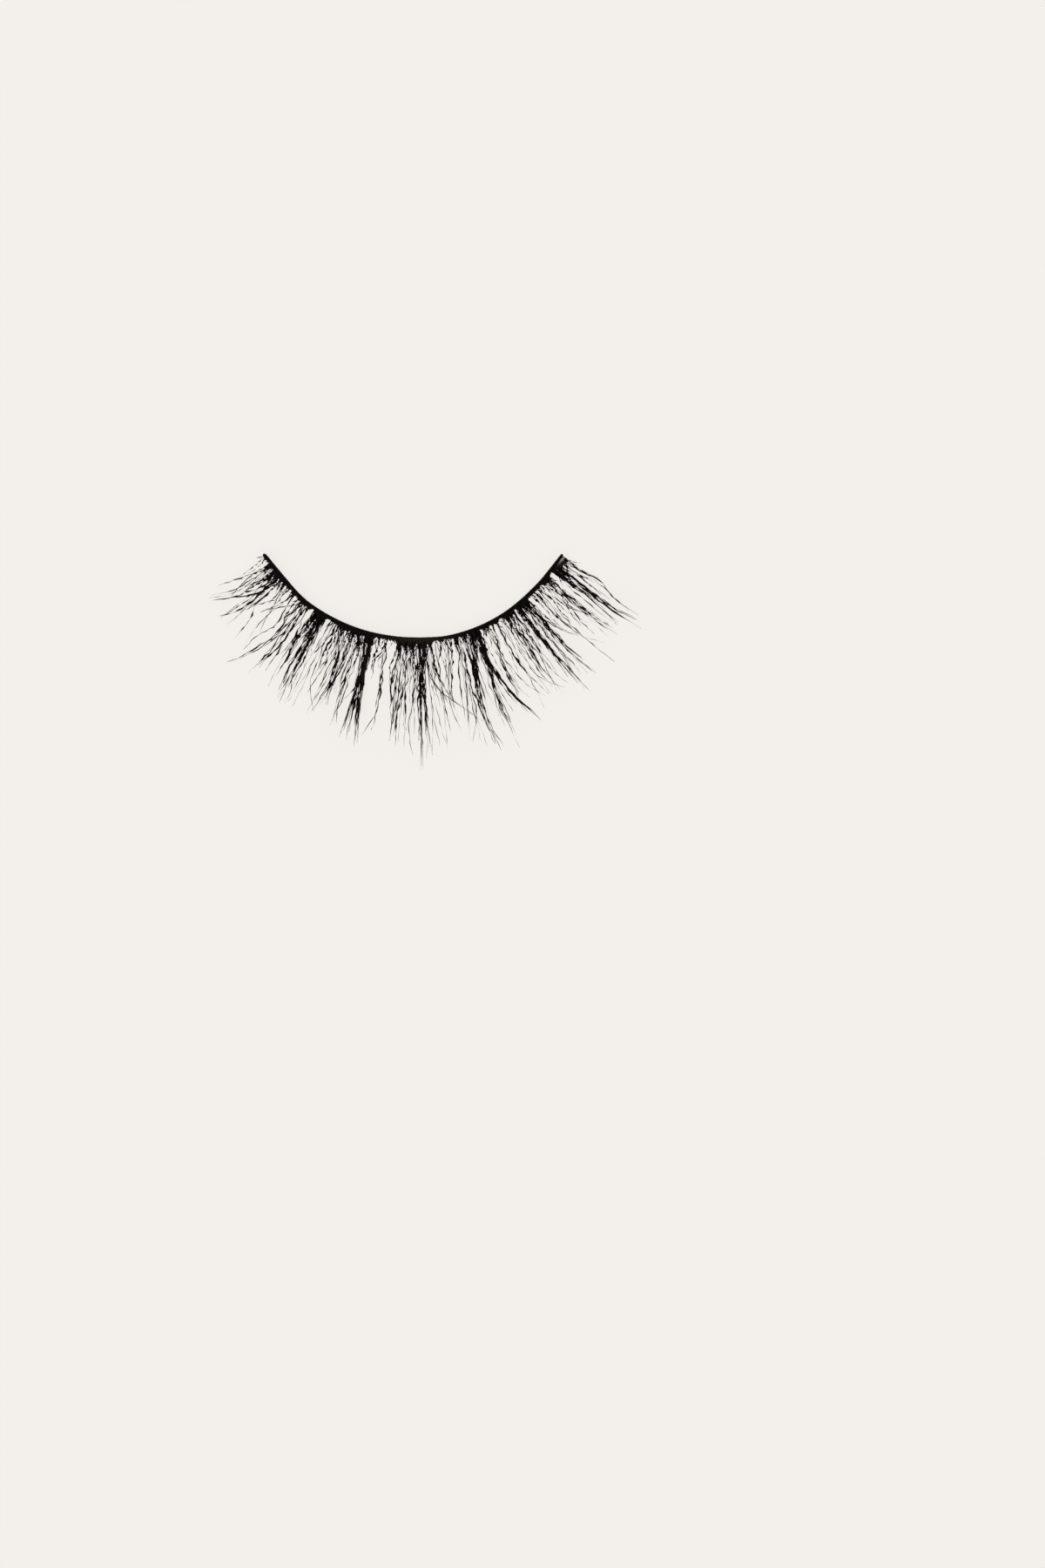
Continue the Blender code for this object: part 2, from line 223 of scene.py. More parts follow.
# The tufts: start and end are places along the band, film is how far out the glue runs, loose is
# how many free hairs there are for each millimetre, and thickness is the share that all its hairs
# are thickened by
Tuft = namedtuple("Tuft", "name start end film loose thickness")
TUFTS = [Tuft(*row) for row in (
    ("short_tuft_1", -16.80, -16.02, 0.40, 0.4, 0.92),
    ("long_tuft_1", -15.86, -13.34, 0.95, 3.6, 1.03),
    ("short_tuft_2", -13.22, -11.60, 0.62, 0.3, 0.84),
    ("long_tuft_2", -11.48, -9.94, 0.64, 1.4, 1.02),
    ("long_tuft_3", -9.82, -8.50, 1.10, 6.4, 1.04),
    ("short_tuft_3", -8.38, -7.34, 0.50, 2.2, 1.00),
    ("long_tuft_4", -7.22, -5.56, 0.74, 4.8, 1.00),
    ("long_tuft_5", -5.44, -3.62, 1.15, 6.6, 1.04),
    ("short_tuft_4", -3.52, -1.76, 0.40, 0.8, 1.15),
    ("long_tuft_6", -1.62, 1.66, 0.90, 7.0, 1.04),
    ("short_tuft_5", 1.80, 3.44, 0.54, 1.2, 0.98),
    ("long_tuft_7", 3.56, 5.44, 0.70, 4.4, 1.02),
    ("long_tuft_8", 5.56, 6.16, 0.80, 6.6, 1.18),
    ("short_tuft_6", 6.40, 8.36, 0.64, 2.2, 0.94),
    ("long_tuft_9", 8.50, 9.96, 0.82, 4.2, 1.00),
    ("long_tuft_10", 10.08, 11.52, 0.95, 5.2, 0.96),
    ("short_tuft_7", 11.68, 13.24, 0.46, 1.2, 1.00),
    ("long_tuft_11", 13.38, 14.52, 0.80, 4.4, 0.90),
    ("long_tuft_12", 14.92, 15.78, 1.62, 4.6, 1.16),
    ("short_tuft_8", 15.88, 16.74, 0.85, 0.6, 0.95),
)]

# The locks of hair: length is the reach outwards, width is across the root, and fullness is how
# much hair there is for that width. The last five columns are the place along the band at the
# root, at a quarter, a half and three quarters of the length, and at the tip.
Lock = namedtuple("Lock", "tuft length width fullness root quarter half three_quarters tip")
LOCKS = [Lock(*row) for row in (
    ("short_tuft_1", 5.3, 0.18, 1.6, -15.66, -15.74, -16.34, -16.80, -17.24),
    ("long_tuft_1", 3.6, 0.16, 0.5, -15.52, -15.46, -15.46, -15.42, -15.36),
    ("long_tuft_1", 4.0, 0.30, 2.2, -14.96, -14.96, -15.10, -15.32, -15.46),
    ("long_tuft_1", 6.6, 0.22, 1.4, -14.60, -14.16, -14.60, -15.54, -16.52),
    ("long_tuft_1", 5.4, 0.16, 0.7, -14.90, -14.70, -14.80, -15.26, -15.74),
    ("long_tuft_1", 7.0, 0.20, 1.3, -14.40, -14.28, -14.22, -14.24, -14.96),
    ("long_tuft_1", 4.6, 0.18, 0.8, -13.96, -13.88, -13.84, -13.84, -13.92),
    ("long_tuft_1", 7.1, 0.14, 1.0, -13.48, -13.10, -13.68, -13.20, -13.02),
    ("short_tuft_2", 5.1, 0.12, 0.7, -12.98, -12.84, -12.74, -12.50, -12.20),
    ("short_tuft_2", 3.9, 0.14, 0.5, -12.30, -12.26, -12.40, -12.68, -12.98),
    ("short_tuft_2", 7.3, 0.12, 0.9, -12.16, -11.88, -11.56, -12.00, -12.00),
    ("short_tuft_2", 3.0, 0.14, 0.5, -11.66, -11.70, -11.68, -11.60, -11.62),
    ("long_tuft_2", 9.2, 0.12, 0.9, -11.36, -11.26, -11.20, -11.62, -12.20),
    ("long_tuft_2", 7.0, 0.24, 1.0, -11.22, -10.90, -10.88, -10.96, -11.32),
    ("long_tuft_2", 8.7, 0.12, 1.0, -10.86, -10.80, -10.72, -10.74, -10.90),
    ("long_tuft_2", 7.7, 0.24, 1.2, -10.72, -10.56, -10.40, -10.45, -10.80),
    ("long_tuft_2", 5.4, 0.24, 1.0, -10.52, -10.26, -9.94, -9.78, -9.92),
    ("long_tuft_2", 7.5, 0.20, 1.3, -10.26, -10.24, -10.28, -10.08, -9.97),
    ("long_tuft_3", 7.4, 0.40, 1.6, -9.62, -9.62, -9.64, -9.38, -9.38),
    ("long_tuft_3", 3.4, 0.44, 1.3, -9.42, -9.38, -9.32, -9.25, -9.15),
    ("long_tuft_3", 8.4, 0.26, 1.2, -9.26, -9.14, -9.03, -9.00, -8.74),
    ("long_tuft_3", 5.4, 0.42, 1.6, -9.04, -8.98, -8.90, -8.80, -8.86),
    ("long_tuft_3", 8.9, 0.20, 1.6, -8.82, -8.72, -8.54, -8.47, -8.44),
    ("long_tuft_3", 3.4, 0.34, 1.3, -8.74, -8.68, -8.58, -8.44, -8.36),
    ("long_tuft_3", 7.8, 0.24, 1.2, -8.70, -8.62, -8.66, -8.56, -8.14),
    ("short_tuft_3", 4.2, 0.12, 0.7, -7.46, -7.46, -7.56, -7.84, -8.12),
    ("short_tuft_3", 5.4, 0.18, 1.4, -7.50, -7.40, -7.42, -7.30, -7.32),
    ("long_tuft_4", 4.9, 0.14, 0.7, -7.14, -7.12, -7.12, -7.05, -7.10),
    ("long_tuft_4", 7.8, 0.26, 1.6, -6.98, -6.50, -6.05, -5.95, -6.12),
    ("long_tuft_4", 7.4, 0.14, 0.8, -6.62, -6.66, -6.78, -6.86, -7.04),
    ("long_tuft_4", 2.6, 0.34, 0.8, -6.24, -6.20, -6.16, -6.10, -6.04),
    ("long_tuft_4", 7.6, 0.28, 1.1, -5.80, -5.62, -5.60, -5.76, -5.68),
    ("long_tuft_4", 4.4, 0.24, 0.9, -5.66, -5.58, -5.52, -5.56, -5.66),
    ("long_tuft_5", 9.0, 0.26, 1.1, -5.16, -5.08, -5.10, -5.08, -4.84),
    ("long_tuft_5", 2.8, 0.50, 1.0, -5.04, -5.00, -4.94, -4.86, -4.76),
    ("long_tuft_5", 9.4, 0.28, 1.2, -4.48, -4.26, -4.12, -4.19, -4.12),
    ("long_tuft_5", 7.0, 0.22, 0.8, -4.36, -4.22, -4.10, -4.30, -4.76),
    ("long_tuft_5", 10.6, 0.40, 1.4, -4.08, -3.96, -3.82, -3.60, -3.34),
    ("long_tuft_5", 10.2, 0.26, 1.1, -4.04, -4.00, -3.94, -3.90, -3.78),
    ("long_tuft_5", 3.6, 0.34, 1.0, -3.82, -3.80, -3.74, -3.68, -3.66),
    ("short_tuft_4", 3.4, 0.12, 0.4, -3.16, -3.22, -3.28, -3.30, -3.22),
    ("short_tuft_4", 8.8, 0.10, 0.8, -2.42, -2.46, -2.48, -2.40, -2.60),
    ("short_tuft_4", 2.6, 0.12, 0.6, -2.42, -2.58, -2.82, -3.10, -3.36),
    ("long_tuft_6", 7.6, 0.26, 1.1, -1.34, -1.44, -1.76, -1.68, -1.56),
    ("long_tuft_6", 4.8, 0.22, 1.1, -1.44, -1.58, -1.82, -1.80, -1.72),
    ("long_tuft_6", 9.6, 0.26, 1.1, -0.86, -0.72, -0.90, -1.20, -1.32),
    ("long_tuft_6", 3.0, 0.34, 0.7, -1.04, -1.06, -1.10, -1.12, -1.14),
    ("long_tuft_6", 8.5, 0.24, 0.9, -0.46, -0.52, -0.66, -0.64, -0.54),
    ("long_tuft_6", 3.4, 0.40, 1.4, -0.26, -0.24, -0.22, -0.20, -0.22),
    ("long_tuft_6", 10.8, 0.20, 1.0, -0.10, 0.04, -0.06, -0.34, -0.12),
    ("long_tuft_6", 6.0, 0.24, 0.8, 0.06, 0.02, 0.06, 0.00, -0.12),
    ("long_tuft_6", 10.2, 0.38, 1.2, 0.44, 0.48, 0.42, 0.42, 0.42),
    ("long_tuft_6", 9.0, 0.28, 1.4, 0.90, 0.78, 0.62, 0.74, 0.66),
    ("long_tuft_6", 3.2, 0.42, 1.2, 0.80, 0.78, 0.76, 0.72, 0.70),
    ("long_tuft_6", 5.4, 0.28, 0.9, 1.04, 1.12, 1.14, 1.26, 1.44),
    ("long_tuft_6", 3.8, 0.26, 1.6, 1.36, 1.48, 1.64, 1.70, 1.66),
    ("long_tuft_6", 6.2, 0.14, 0.6, 1.52, 1.62, 1.76, 1.96, 2.24),
    ("short_tuft_5", 2.3, 0.18, 1.2, 2.54, 2.46, 2.34, 2.20, 2.08),
    ("short_tuft_5", 6.9, 0.26, 1.3, 3.32, 3.16, 2.88, 2.62, 2.58),
    ("long_tuft_7", 8.3, 0.14, 0.8, 3.80, 3.72, 3.36, 3.26, 3.16),
    ("long_tuft_7", 3.0, 0.36, 1.1, 3.90, 3.92, 3.94, 3.94, 3.96),
    ("long_tuft_7", 7.8, 0.20, 1.2, 3.98, 4.04, 4.02, 3.98, 4.40),
    ("long_tuft_7", 4.6, 0.18, 0.6, 4.46, 4.52, 4.56, 4.58, 4.56),
    ("long_tuft_7", 7.6, 0.14, 0.8, 4.70, 4.66, 4.56, 4.26, 4.22),
    ("long_tuft_7", 3.3, 0.44, 2.0, 5.28, 5.26, 5.22, 5.20, 5.14),
    ("long_tuft_7", 11.6, 0.38, 1.5, 5.28, 4.83, 4.48, 4.47, 4.76),
    ("long_tuft_8", 5.2, 0.42, 1.7, 5.74, 5.76, 5.82, 5.92, 6.04),
    ("long_tuft_8", 9.4, 0.34, 1.6, 5.80, 5.82, 6.08, 6.52, 6.92),
    ("long_tuft_8", 10.4, 0.24, 1.2, 5.96, 5.92, 6.16, 6.76, 7.40),
    ("long_tuft_8", 9.8, 0.28, 1.4, 5.92, 5.86, 5.68, 5.52, 5.72),
    ("long_tuft_8", 3.0, 0.20, 0.8, 6.22, 6.20, 6.22, 6.20, 6.22),
    ("short_tuft_6", 8.0, 0.14, 0.8, 6.62, 6.70, 6.92, 7.08, 7.50),
    ("short_tuft_6", 7.2, 0.22, 1.5, 7.48, 7.22, 6.84, 6.74, 6.94),
    ("short_tuft_6", 3.2, 0.16, 0.6, 7.02, 7.06, 7.08, 7.00, 6.92),
    ("short_tuft_6", 8.6, 0.24, 1.1, 7.86, 7.88, 7.86, 8.20, 8.58),
    ("long_tuft_9", 2.6, 0.24, 1.1, 8.84, 8.86, 8.82, 8.72, 8.60),
    ("long_tuft_9", 8.2, 0.16, 0.9, 8.94, 8.86, 8.70, 8.72, 8.86),
    ("long_tuft_9", 8.0, 0.32, 1.7, 9.08, 9.10, 9.18, 9.04, 9.28),
    ("long_tuft_9", 5.2, 0.18, 0.7, 9.42, 9.36, 9.32, 9.36, 9.52),
    ("long_tuft_9", 8.8, 0.22, 1.0, 9.66, 9.72, 9.62, 9.56, 9.96),
    ("long_tuft_9", 4.0, 0.24, 1.3, 9.64, 9.74, 9.84, 9.78, 9.66),
    ("long_tuft_10", 4.0, 0.34, 1.8, 10.20, 10.18, 10.14, 10.10, 10.06),
    ("long_tuft_10", 10.6, 0.34, 2.3, 10.30, 10.30, 10.34, 10.42, 10.50),
    ("long_tuft_10", 3.4, 0.16, 0.6, 10.66, 10.72, 10.64, 10.48, 10.40),
    ("long_tuft_10", 8.4, 0.20, 0.8, 10.70, 10.72, 10.68, 10.82, 10.92),
    ("long_tuft_10", 8.0, 0.40, 0.9, 11.06, 11.14, 11.20, 11.24, 11.48),
    ("long_tuft_10", 6.0, 0.18, 1.0, 11.20, 11.26, 11.34, 11.36, 11.36),
    ("long_tuft_10", 4.2, 0.24, 1.6, 11.34, 11.42, 11.56, 11.68, 11.82),
    ("short_tuft_7", 1.9, 0.16, 1.0, 11.90, 11.94, 11.96, 12.00, 12.05),
    ("short_tuft_7", 4.9, 0.10, 0.8, 12.30, 12.42, 12.24, 12.26, 12.44),
    ("short_tuft_7", 4.6, 0.14, 1.1, 12.88, 12.96, 13.04, 12.88, 12.90),
    ("long_tuft_11", 7.0, 0.28, 1.3, 13.90, 13.84, 13.42, 13.13, 13.00),
    ("long_tuft_11", 3.4, 0.24, 1.0, 13.56, 13.54, 13.62, 13.74, 13.66),
    ("long_tuft_11", 8.6, 0.14, 0.9, 13.90, 13.80, 13.80, 13.90, 14.02),
    ("long_tuft_11", 8.0, 0.26, 1.4, 14.18, 14.06, 14.04, 14.10, 14.32),
    ("long_tuft_12", 4.4, 0.26, 2.1, 15.06, 15.06, 15.10, 15.20, 15.34),
    ("long_tuft_12", 8.0, 0.16, 1.0, 15.08, 15.06, 15.16, 15.16, 14.94),
    ("long_tuft_12", 5.0, 0.32, 1.5, 15.14, 15.14, 15.14, 15.28, 15.36),
    ("long_tuft_12", 3.4, 0.26, 1.1, 15.50, 15.50, 15.52, 15.54, 15.50),
    ("long_tuft_12", 8.3, 0.24, 1.8, 15.60, 15.62, 15.64, 15.70, 15.86),
    ("long_tuft_12", 10.0, 0.14, 0.9, 15.54, 15.54, 15.60, 15.74, 16.10),
    ("short_tuft_8", 4.0, 0.12, 0.7, 15.92, 16.06, 16.20, 16.36, 16.44),
    ("short_tuft_8", 3.4, 0.14, 0.7, 16.24, 16.40, 16.60, 16.80, 16.92),
    ("short_tuft_8", 8.0, 0.16, 1.3, 16.30, 16.52, 16.98, 16.64, 16.48),
)]

# Stray hairs that leave their lock, cross to the next one or stand alone: hairs is how many lie
# together, and the last five columns are as in the table of locks.
Stray = namedtuple("Stray", "tuft length hairs root quarter half three_quarters tip")
STRAYS = [Stray(*row) for row in (
    ("short_tuft_1", 3.4, 1, -16.66, -16.64, -16.62, -16.64, -16.70),
    ("short_tuft_1", 0.9, 2, -16.47, -16.46, -16.45, -16.44, -16.43),
    ("short_tuft_1", 2.6, 1, -16.48, -16.44, -16.40, -16.38, -16.38),
    ("long_tuft_1", 6.5, 1, -15.64, -15.68, -15.84, -16.20, -17.00),
    ("long_tuft_1", 7.2, 1, -15.60, -15.60, -15.62, -16.00, -16.90),
    ("long_tuft_1", 3.4, 2, -14.60, -14.50, -14.25, -14.05, -13.95),
    ("long_tuft_1", 2.0, 2, -13.48, -13.44, -13.34, -13.22, -13.08),
    ("short_tuft_2", 3.9, 2, -11.28, -11.42, -12.08, -12.60, -13.02),
    ("short_tuft_2", 3.8, 1, -13.06, -13.10, -12.96, -12.74, -12.54),
    ("short_tuft_2", 7.0, 1, -12.40, -12.50, -12.60, -12.55, -12.25),
    ("long_tuft_2", 9.4, 1, -11.20, -11.10, -11.06, -11.40, -11.94),
    ("long_tuft_2", 3.3, 1, -11.44, -11.42, -11.30, -11.36, -11.24),
    ("long_tuft_3", 9.8, 2, -8.90, -8.70, -8.60, -8.50, -8.30),
    ("long_tuft_3", 8.5, 2, -9.10, -9.02, -8.96, -8.94, -8.64),
    ("short_tuft_3", 9.7, 1, -8.00, -7.90, -7.70, -7.55, -7.50),
    ("short_tuft_3", 9.6, 1, -7.60, -7.60, -7.40, -7.15, -6.20),
    ("long_tuft_4", 9.5, 2, -6.60, -6.20, -6.00, -6.14, -6.40),
    ("long_tuft_4", 8.4, 2, -5.90, -5.82, -5.80, -5.86, -5.70),
    ("long_tuft_5", 10.5, 3, -4.60, -4.40, -4.20, -4.16, -4.30),
    ("long_tuft_5", 10.8, 4, -3.90, -3.82, -3.70, -3.52, -3.26),
    ("short_tuft_4", 10.4, 1, -2.50, -2.45, -2.45, -2.50, -3.15),
    ("short_tuft_4", 3.4, 1, -1.95, -2.12, -2.60, -2.90, -2.75),
    ("long_tuft_6", 10.7, 2, -1.20, -1.10, -1.10, -1.10, -1.05),
    ("long_tuft_6", 6.8, 2, 1.50, 1.60, 1.80, 2.20, 2.80),
    ("long_tuft_6", 9.8, 2, 1.16, 1.10, 1.62, 3.15, 4.50),
    ("long_tuft_6", 11.4, 2, 0.70, 0.75, 0.80, 0.90, 1.08),
    ("long_tuft_6", 13.2, 2, 0.40, 0.44, 0.42, 0.42, 0.33),
    ("long_tuft_6", 12.2, 2, 0.46, 0.50, 0.46, 0.46, 0.44),
    ("short_tuft_5", 9.8, 2, 1.95, 1.96, 2.02, 2.06, 2.25),
    ("short_tuft_5", 9.6, 2, 3.10, 2.90, 2.55, 2.50, 2.85),
    ("short_tuft_5", 4.2, 1, 2.15, 2.20, 2.35, 2.50, 2.60),
    ("short_tuft_5", 1.8, 2, 2.70, 2.80, 2.95, 3.10, 3.15),
    ("long_tuft_7", 10.4, 2, 3.90, 3.85, 3.70, 3.45, 3.22),
    ("long_tuft_7", 11.3, 1, 4.20, 4.20, 4.10, 3.95, 3.35),
    ("long_tuft_7", 12.2, 2, 5.30, 5.00, 4.60, 4.56, 4.96),
    ("long_tuft_8", 12.6, 1, 5.90, 5.80, 5.65, 5.65, 5.75),
    ("short_tuft_6", 9.4, 1, 7.00, 7.00, 7.20, 7.60, 8.35),
    ("short_tuft_6", 9.3, 1, 8.30, 8.30, 8.40, 8.60, 9.60),
    ("long_tuft_9", 9.6, 1, 8.80, 8.60, 8.50, 8.60, 8.78),
    ("long_tuft_10", 10.2, 3, 11.00, 11.10, 11.20, 11.30, 11.60),
    ("long_tuft_10", 6.8, 2, 11.20, 11.26, 11.46, 11.86, 12.40),
    ("long_tuft_10", 9.2, 2, 10.30, 10.24, 10.20, 10.22, 10.16),
    ("short_tuft_7", 5.0, 1, 12.00, 12.02, 11.96, 11.92, 11.96),
    ("short_tuft_7", 8.5, 1, 12.40, 12.30, 12.35, 12.60, 13.30),
    ("short_tuft_7", 10.8, 1, 12.60, 12.50, 12.50, 12.60, 12.80),
    ("short_tuft_7", 6.2, 1, 12.95, 13.00, 13.00, 13.15, 13.45),
    ("long_tuft_11", 5.6, 2, 13.50, 13.32, 13.28, 13.56, 14.02),
    ("long_tuft_12", 9.6, 3, 15.68, 15.66, 15.72, 15.84, 16.35),
    ("short_tuft_8", 2.2, 1, 16.66, 16.72, 16.82, 16.98, 17.22),
    ("short_tuft_8", 9.6, 1, 16.60, 16.70, 16.80, 16.68, 16.82),
)]

# The round arches of the film's edge, one in each gap between neighbouring roots: the narrowest gap
# that holds one, the share of the gap that it spans, and its crown's distance from the band's inner
# edge, which falls with the width down to a least one
Arch = namedtuple("Arch", "place width depth")
ARCH_NARROWEST = 0.18
ARCH_SPAN = 0.75
ARCH_CROWN = 1.00
ARCH_CROWN_FALL = 1.05
ARCH_CROWN_LEAST = 0.40

# How far the free hairs reach at places along the band
Reach = namedtuple("Reach", "s length")
REACHES = [Reach(*row) for row in (
    (-17.0, 5.5), (-15.0, 7.2), (-12.4, 8.8), (-8.6, 9.4), (-6.5, 9.4), (-3.7, 10.6), (-1.5, 9.6),
    (0.3, 12.4), (2.0, 10.4), (4.6, 11.4), (7.0, 10.4), (8.4, 9.6), (10.3, 10.4), (12.6, 9.8),
    (14.0, 8.6), (15.7, 9.8), (17.0, 7.6),
)]

# Spots of another colour: the middle of each, how far it spreads along the band and outwards, and
# how strong it is. Clear and brown glue lie at the right end, and the hair's dye has worn in places.
Spot = namedtuple("Spot", "s d along outwards share")
CLEAR_GLUE = Spot(16.36, 0.35, 0.50, 0.11, 1.0)
BROWN_GLUE = Spot(16.26, 0.66, 0.26, 0.22, 1.0)
WARM_SPOTS = [Spot(*row) for row in (
    (-16.6, 4.0, 0.8, 1.6, 0.8), (16.9, 3.8, 0.6, 1.1, 1.0), (15.7, 6.6, 0.7, 1.6, 0.8),
    (10.4, 8.2, 0.6, 1.5, 0.8), (4.6, 9.0, 0.7, 1.6, 0.8), (0.4, 9.0, 0.6, 2.4, 0.6),
    (-3.6, 9.0, 0.7, 2.0, 0.6), (2.9, 4.2, 0.7, 1.2, 0.4), (-9.0, 7.6, 0.7, 1.6, 0.4),
)]

# The faint warmth of the outer hair: its share, where it starts, and how far it takes to come in
OUTER_WARMTH = 0.22
WARMTH_FROM = 1.5
WARMTH_OVER = 3.0

# The grain of each finish, a noise's scale to the metre and its detail, and the gloss of all of them
HAIR_STREAKS = (2600.0, 3.0)
CORD_FIBRE = (9000.0, 4.0)
CORD_PATCHES = (900.0, 2.0)
GLUE_PATCHES = (3200.0, 3.0)
THREAD_FIBRE = (14000.0, 3.0)
SLACK_GLOSS = 0.04

# The floor, which is pale mostly by a glow of its own, so that the strip casts almost no shadow on it,
# and the light: a white dome and one wide soft sun, which together bring the floor to its tone
FLOOR_TONE = (0.100, 0.0963, 0.0919)
FLOOR_GLOW = (0.784, 0.7552, 0.7202)
FLOOR_HALF_SIZE = 0.6
DOME_STRENGTH = 0.88
SUN_SHARE = 0.24
SUN_ANGLE = math.radians(70.0)
SUN_TILT = (math.radians(38.0), 0.0, math.radians(-32.0))

# The camera looks straight down, as in the photograph, whose frame is 1200 by 1800 pixels. The
# pixel is where the middle of the band's inner edge falls in it.
FRAME_PIXELS = (1200, 1800)
MIDDLE_PIXEL = (475.35, 732.2)
PIXEL_SIZE = 0.0825
LENS = 200.0
SENSOR = 36.0


def along_arc(s, d, z):
    """Points on and beside the band's line, in millimetres: an arc of constant radius, whose ends
    run on along their tangents, moved outwards by d and up by z."""
    angle = np.clip(s / ARC_RADIUS, -ARC_HALF_ANGLE, ARC_HALF_ANGLE)
    beyond = s - angle * ARC_RADIUS
    x = (ARC_RADIUS + d) * np.sin(angle) + beyond * np.cos(angle)
    y = ARC_RADIUS - (ARC_RADIUS + d) * np.cos(angle) + beyond * np.sin(angle)
    return np.stack(np.broadcast_arrays(x, y, z), axis=-1)


def strip_offset():
    """Where the arc's own origin lies, in metres: the band's right end and its lowest facet corner
    are found on the frame's band, and by the same formula here, and the offset is the difference."""
    low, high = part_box("band")
    corner_angle = ARC_HALF_ANGLE / ARC_FACETS
    right = along_arc(BAND_RIGHT, BAND_DEPTH, 0.0)[0]
    lowest = along_arc(corner_angle * ARC_RADIUS, BAND_DEPTH, 0.0)[1]
    return np.array((high.x - right * MM, low.y - lowest * MM, 0.0))


OFFSET = strip_offset()


def place(s, d, z):
    """Points at s along the band, d outwards and z up, in metres in the frame."""
    return along_arc(s, d, z) * MM + OFFSET


def across_band(s, share):
    """How far outwards a share of the cord's depth lies: its course runs straight from each place
    in the table to the next."""
    places = [row.s for row in COURSE]
    inner = np.interp(s, places, [row.outwards for row in COURSE])
    depth = np.interp(s, places, [row.depth for row in COURSE])
    return inner + depth * share


def unit(vectors):
    """Vectors scaled to length one."""
    return vectors / np.linalg.norm(vectors, axis=-1, keepdims=True)


def new_piece(name, points, faces, finish, attributes=None, uvs=None):
    """A mesh object from arrays of points and faces. attributes holds one number for each point,
    and uvs two for each point."""
    mesh = bpy.data.meshes.new(name)
    mesh.from_pydata(points.reshape(-1, 3).tolist(), [], faces)
    for label, values in (attributes or {}).items():
        layer = mesh.attributes.new(label, "FLOAT", "POINT")
        layer.data.foreach_set("value", np.ascontiguousarray(values, dtype=np.float32).ravel())
    if uvs is not None:
        corner = np.empty(len(mesh.loops), dtype=np.int32)
        mesh.loops.foreach_get("vertex_index", corner)
        layer = mesh.uv_layers.new(name="along_and_across")
        layer.data.foreach_set("uv", uvs.reshape(-1, 2)[corner].astype(np.float32).ravel())
    mesh.shade_smooth()
    mesh.materials.append(finish)
    mesh.update()
    piece = bpy.data.objects.new(name, mesh)
    bpy.context.scene.collection.objects.link(piece)
    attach(piece, "root")
    return piece


def tube_faces(tubes, sections, sides):
    """Faces of tubes whose points are numbered tube by tube, section by section and side by side:
    quads between neighbouring sections, and one flat face on each end."""
    index = np.arange(tubes * sections * sides).reshape(tubes, sections, sides)
    turned = np.roll(index, -1, axis=2)
    quads = np.stack((index[:, :-1], turned[:, :-1], turned[:, 1:], index[:, 1:]), axis=-1)
    ends = index[:, 0, ::-1].tolist() + index[:, -1].tolist()
    return quads.reshape(-1, 4).tolist() + ends


def loop_faces(loops, sections, sides):
    """Faces of rings whose last section joins the first: quads between neighbours both ways."""
    index = np.arange(loops * sections * sides).reshape(loops, sections, sides)
    turned = np.roll(index, -1, axis=2)
    ahead = np.roll(index, -1, axis=1)
    quads = np.stack((index, turned, np.roll(ahead, -1, axis=2), ahead), axis=-1)
    return quads.reshape(-1, 4).tolist()


def tubes_along(paths, radii, sides):
    """Points of round tubes: at each section, a circle across the path's direction. Its first axis
    is level and its second axis completes it, so that the faces point outwards."""
    ahead = unit(np.gradient(paths, axis=1))
    level = unit(np.cross(np.array((0.0, 0.0, 1.0)), ahead))
    upright = np.cross(ahead, level)
    turn = 2.0 * math.pi * np.arange(sides) / sides
    circle = np.cos(turn)[:, None] * level[:, :, None, :]
    circle = circle + np.sin(turn)[:, None] * upright[:, :, None, :]
    return paths[:, :, None, :] + radii[:, :, None, None] * circle


def smooth_through(places, t):
    """A smooth curve through five evenly spaced places, read at shares t of its length: the usual
    cubic between neighbours whose slope at a place comes from the places on either side."""
    before = places[:, :1]
    after = 2.0 * places[:, 4:] - places[:, 3:4]
    padded = np.concatenate((before, places, after), axis=1)
    step = np.clip((t * 4.0).astype(int), 0, 3)
    u = t * 4.0 - step
    a, b, c, d = (np.take_along_axis(padded, step + k, axis=1) for k in range(4))
    return b + 0.5 * u * (c - a + u * (2.0 * a - 5.0 * b + 4.0 * c - d + u * (3.0 * (b - c) + d - a)))


def curl_height(reach, curl_radius):
    """Height of the hair's curl at a reach outwards: a circle that starts at the root with a dip."""
    turned = np.arcsin(np.clip(reach / curl_radius - math.sin(ROOT_DIP), -1.0, 0.97))
    return ROOT_HEIGHT + curl_radius * (math.cos(ROOT_DIP) - np.cos(turned))


# A group of hairs: each field holds one row or number for each hair
Hairs = namedtuple("Hairs", "places length curl across up fan wave thickness")


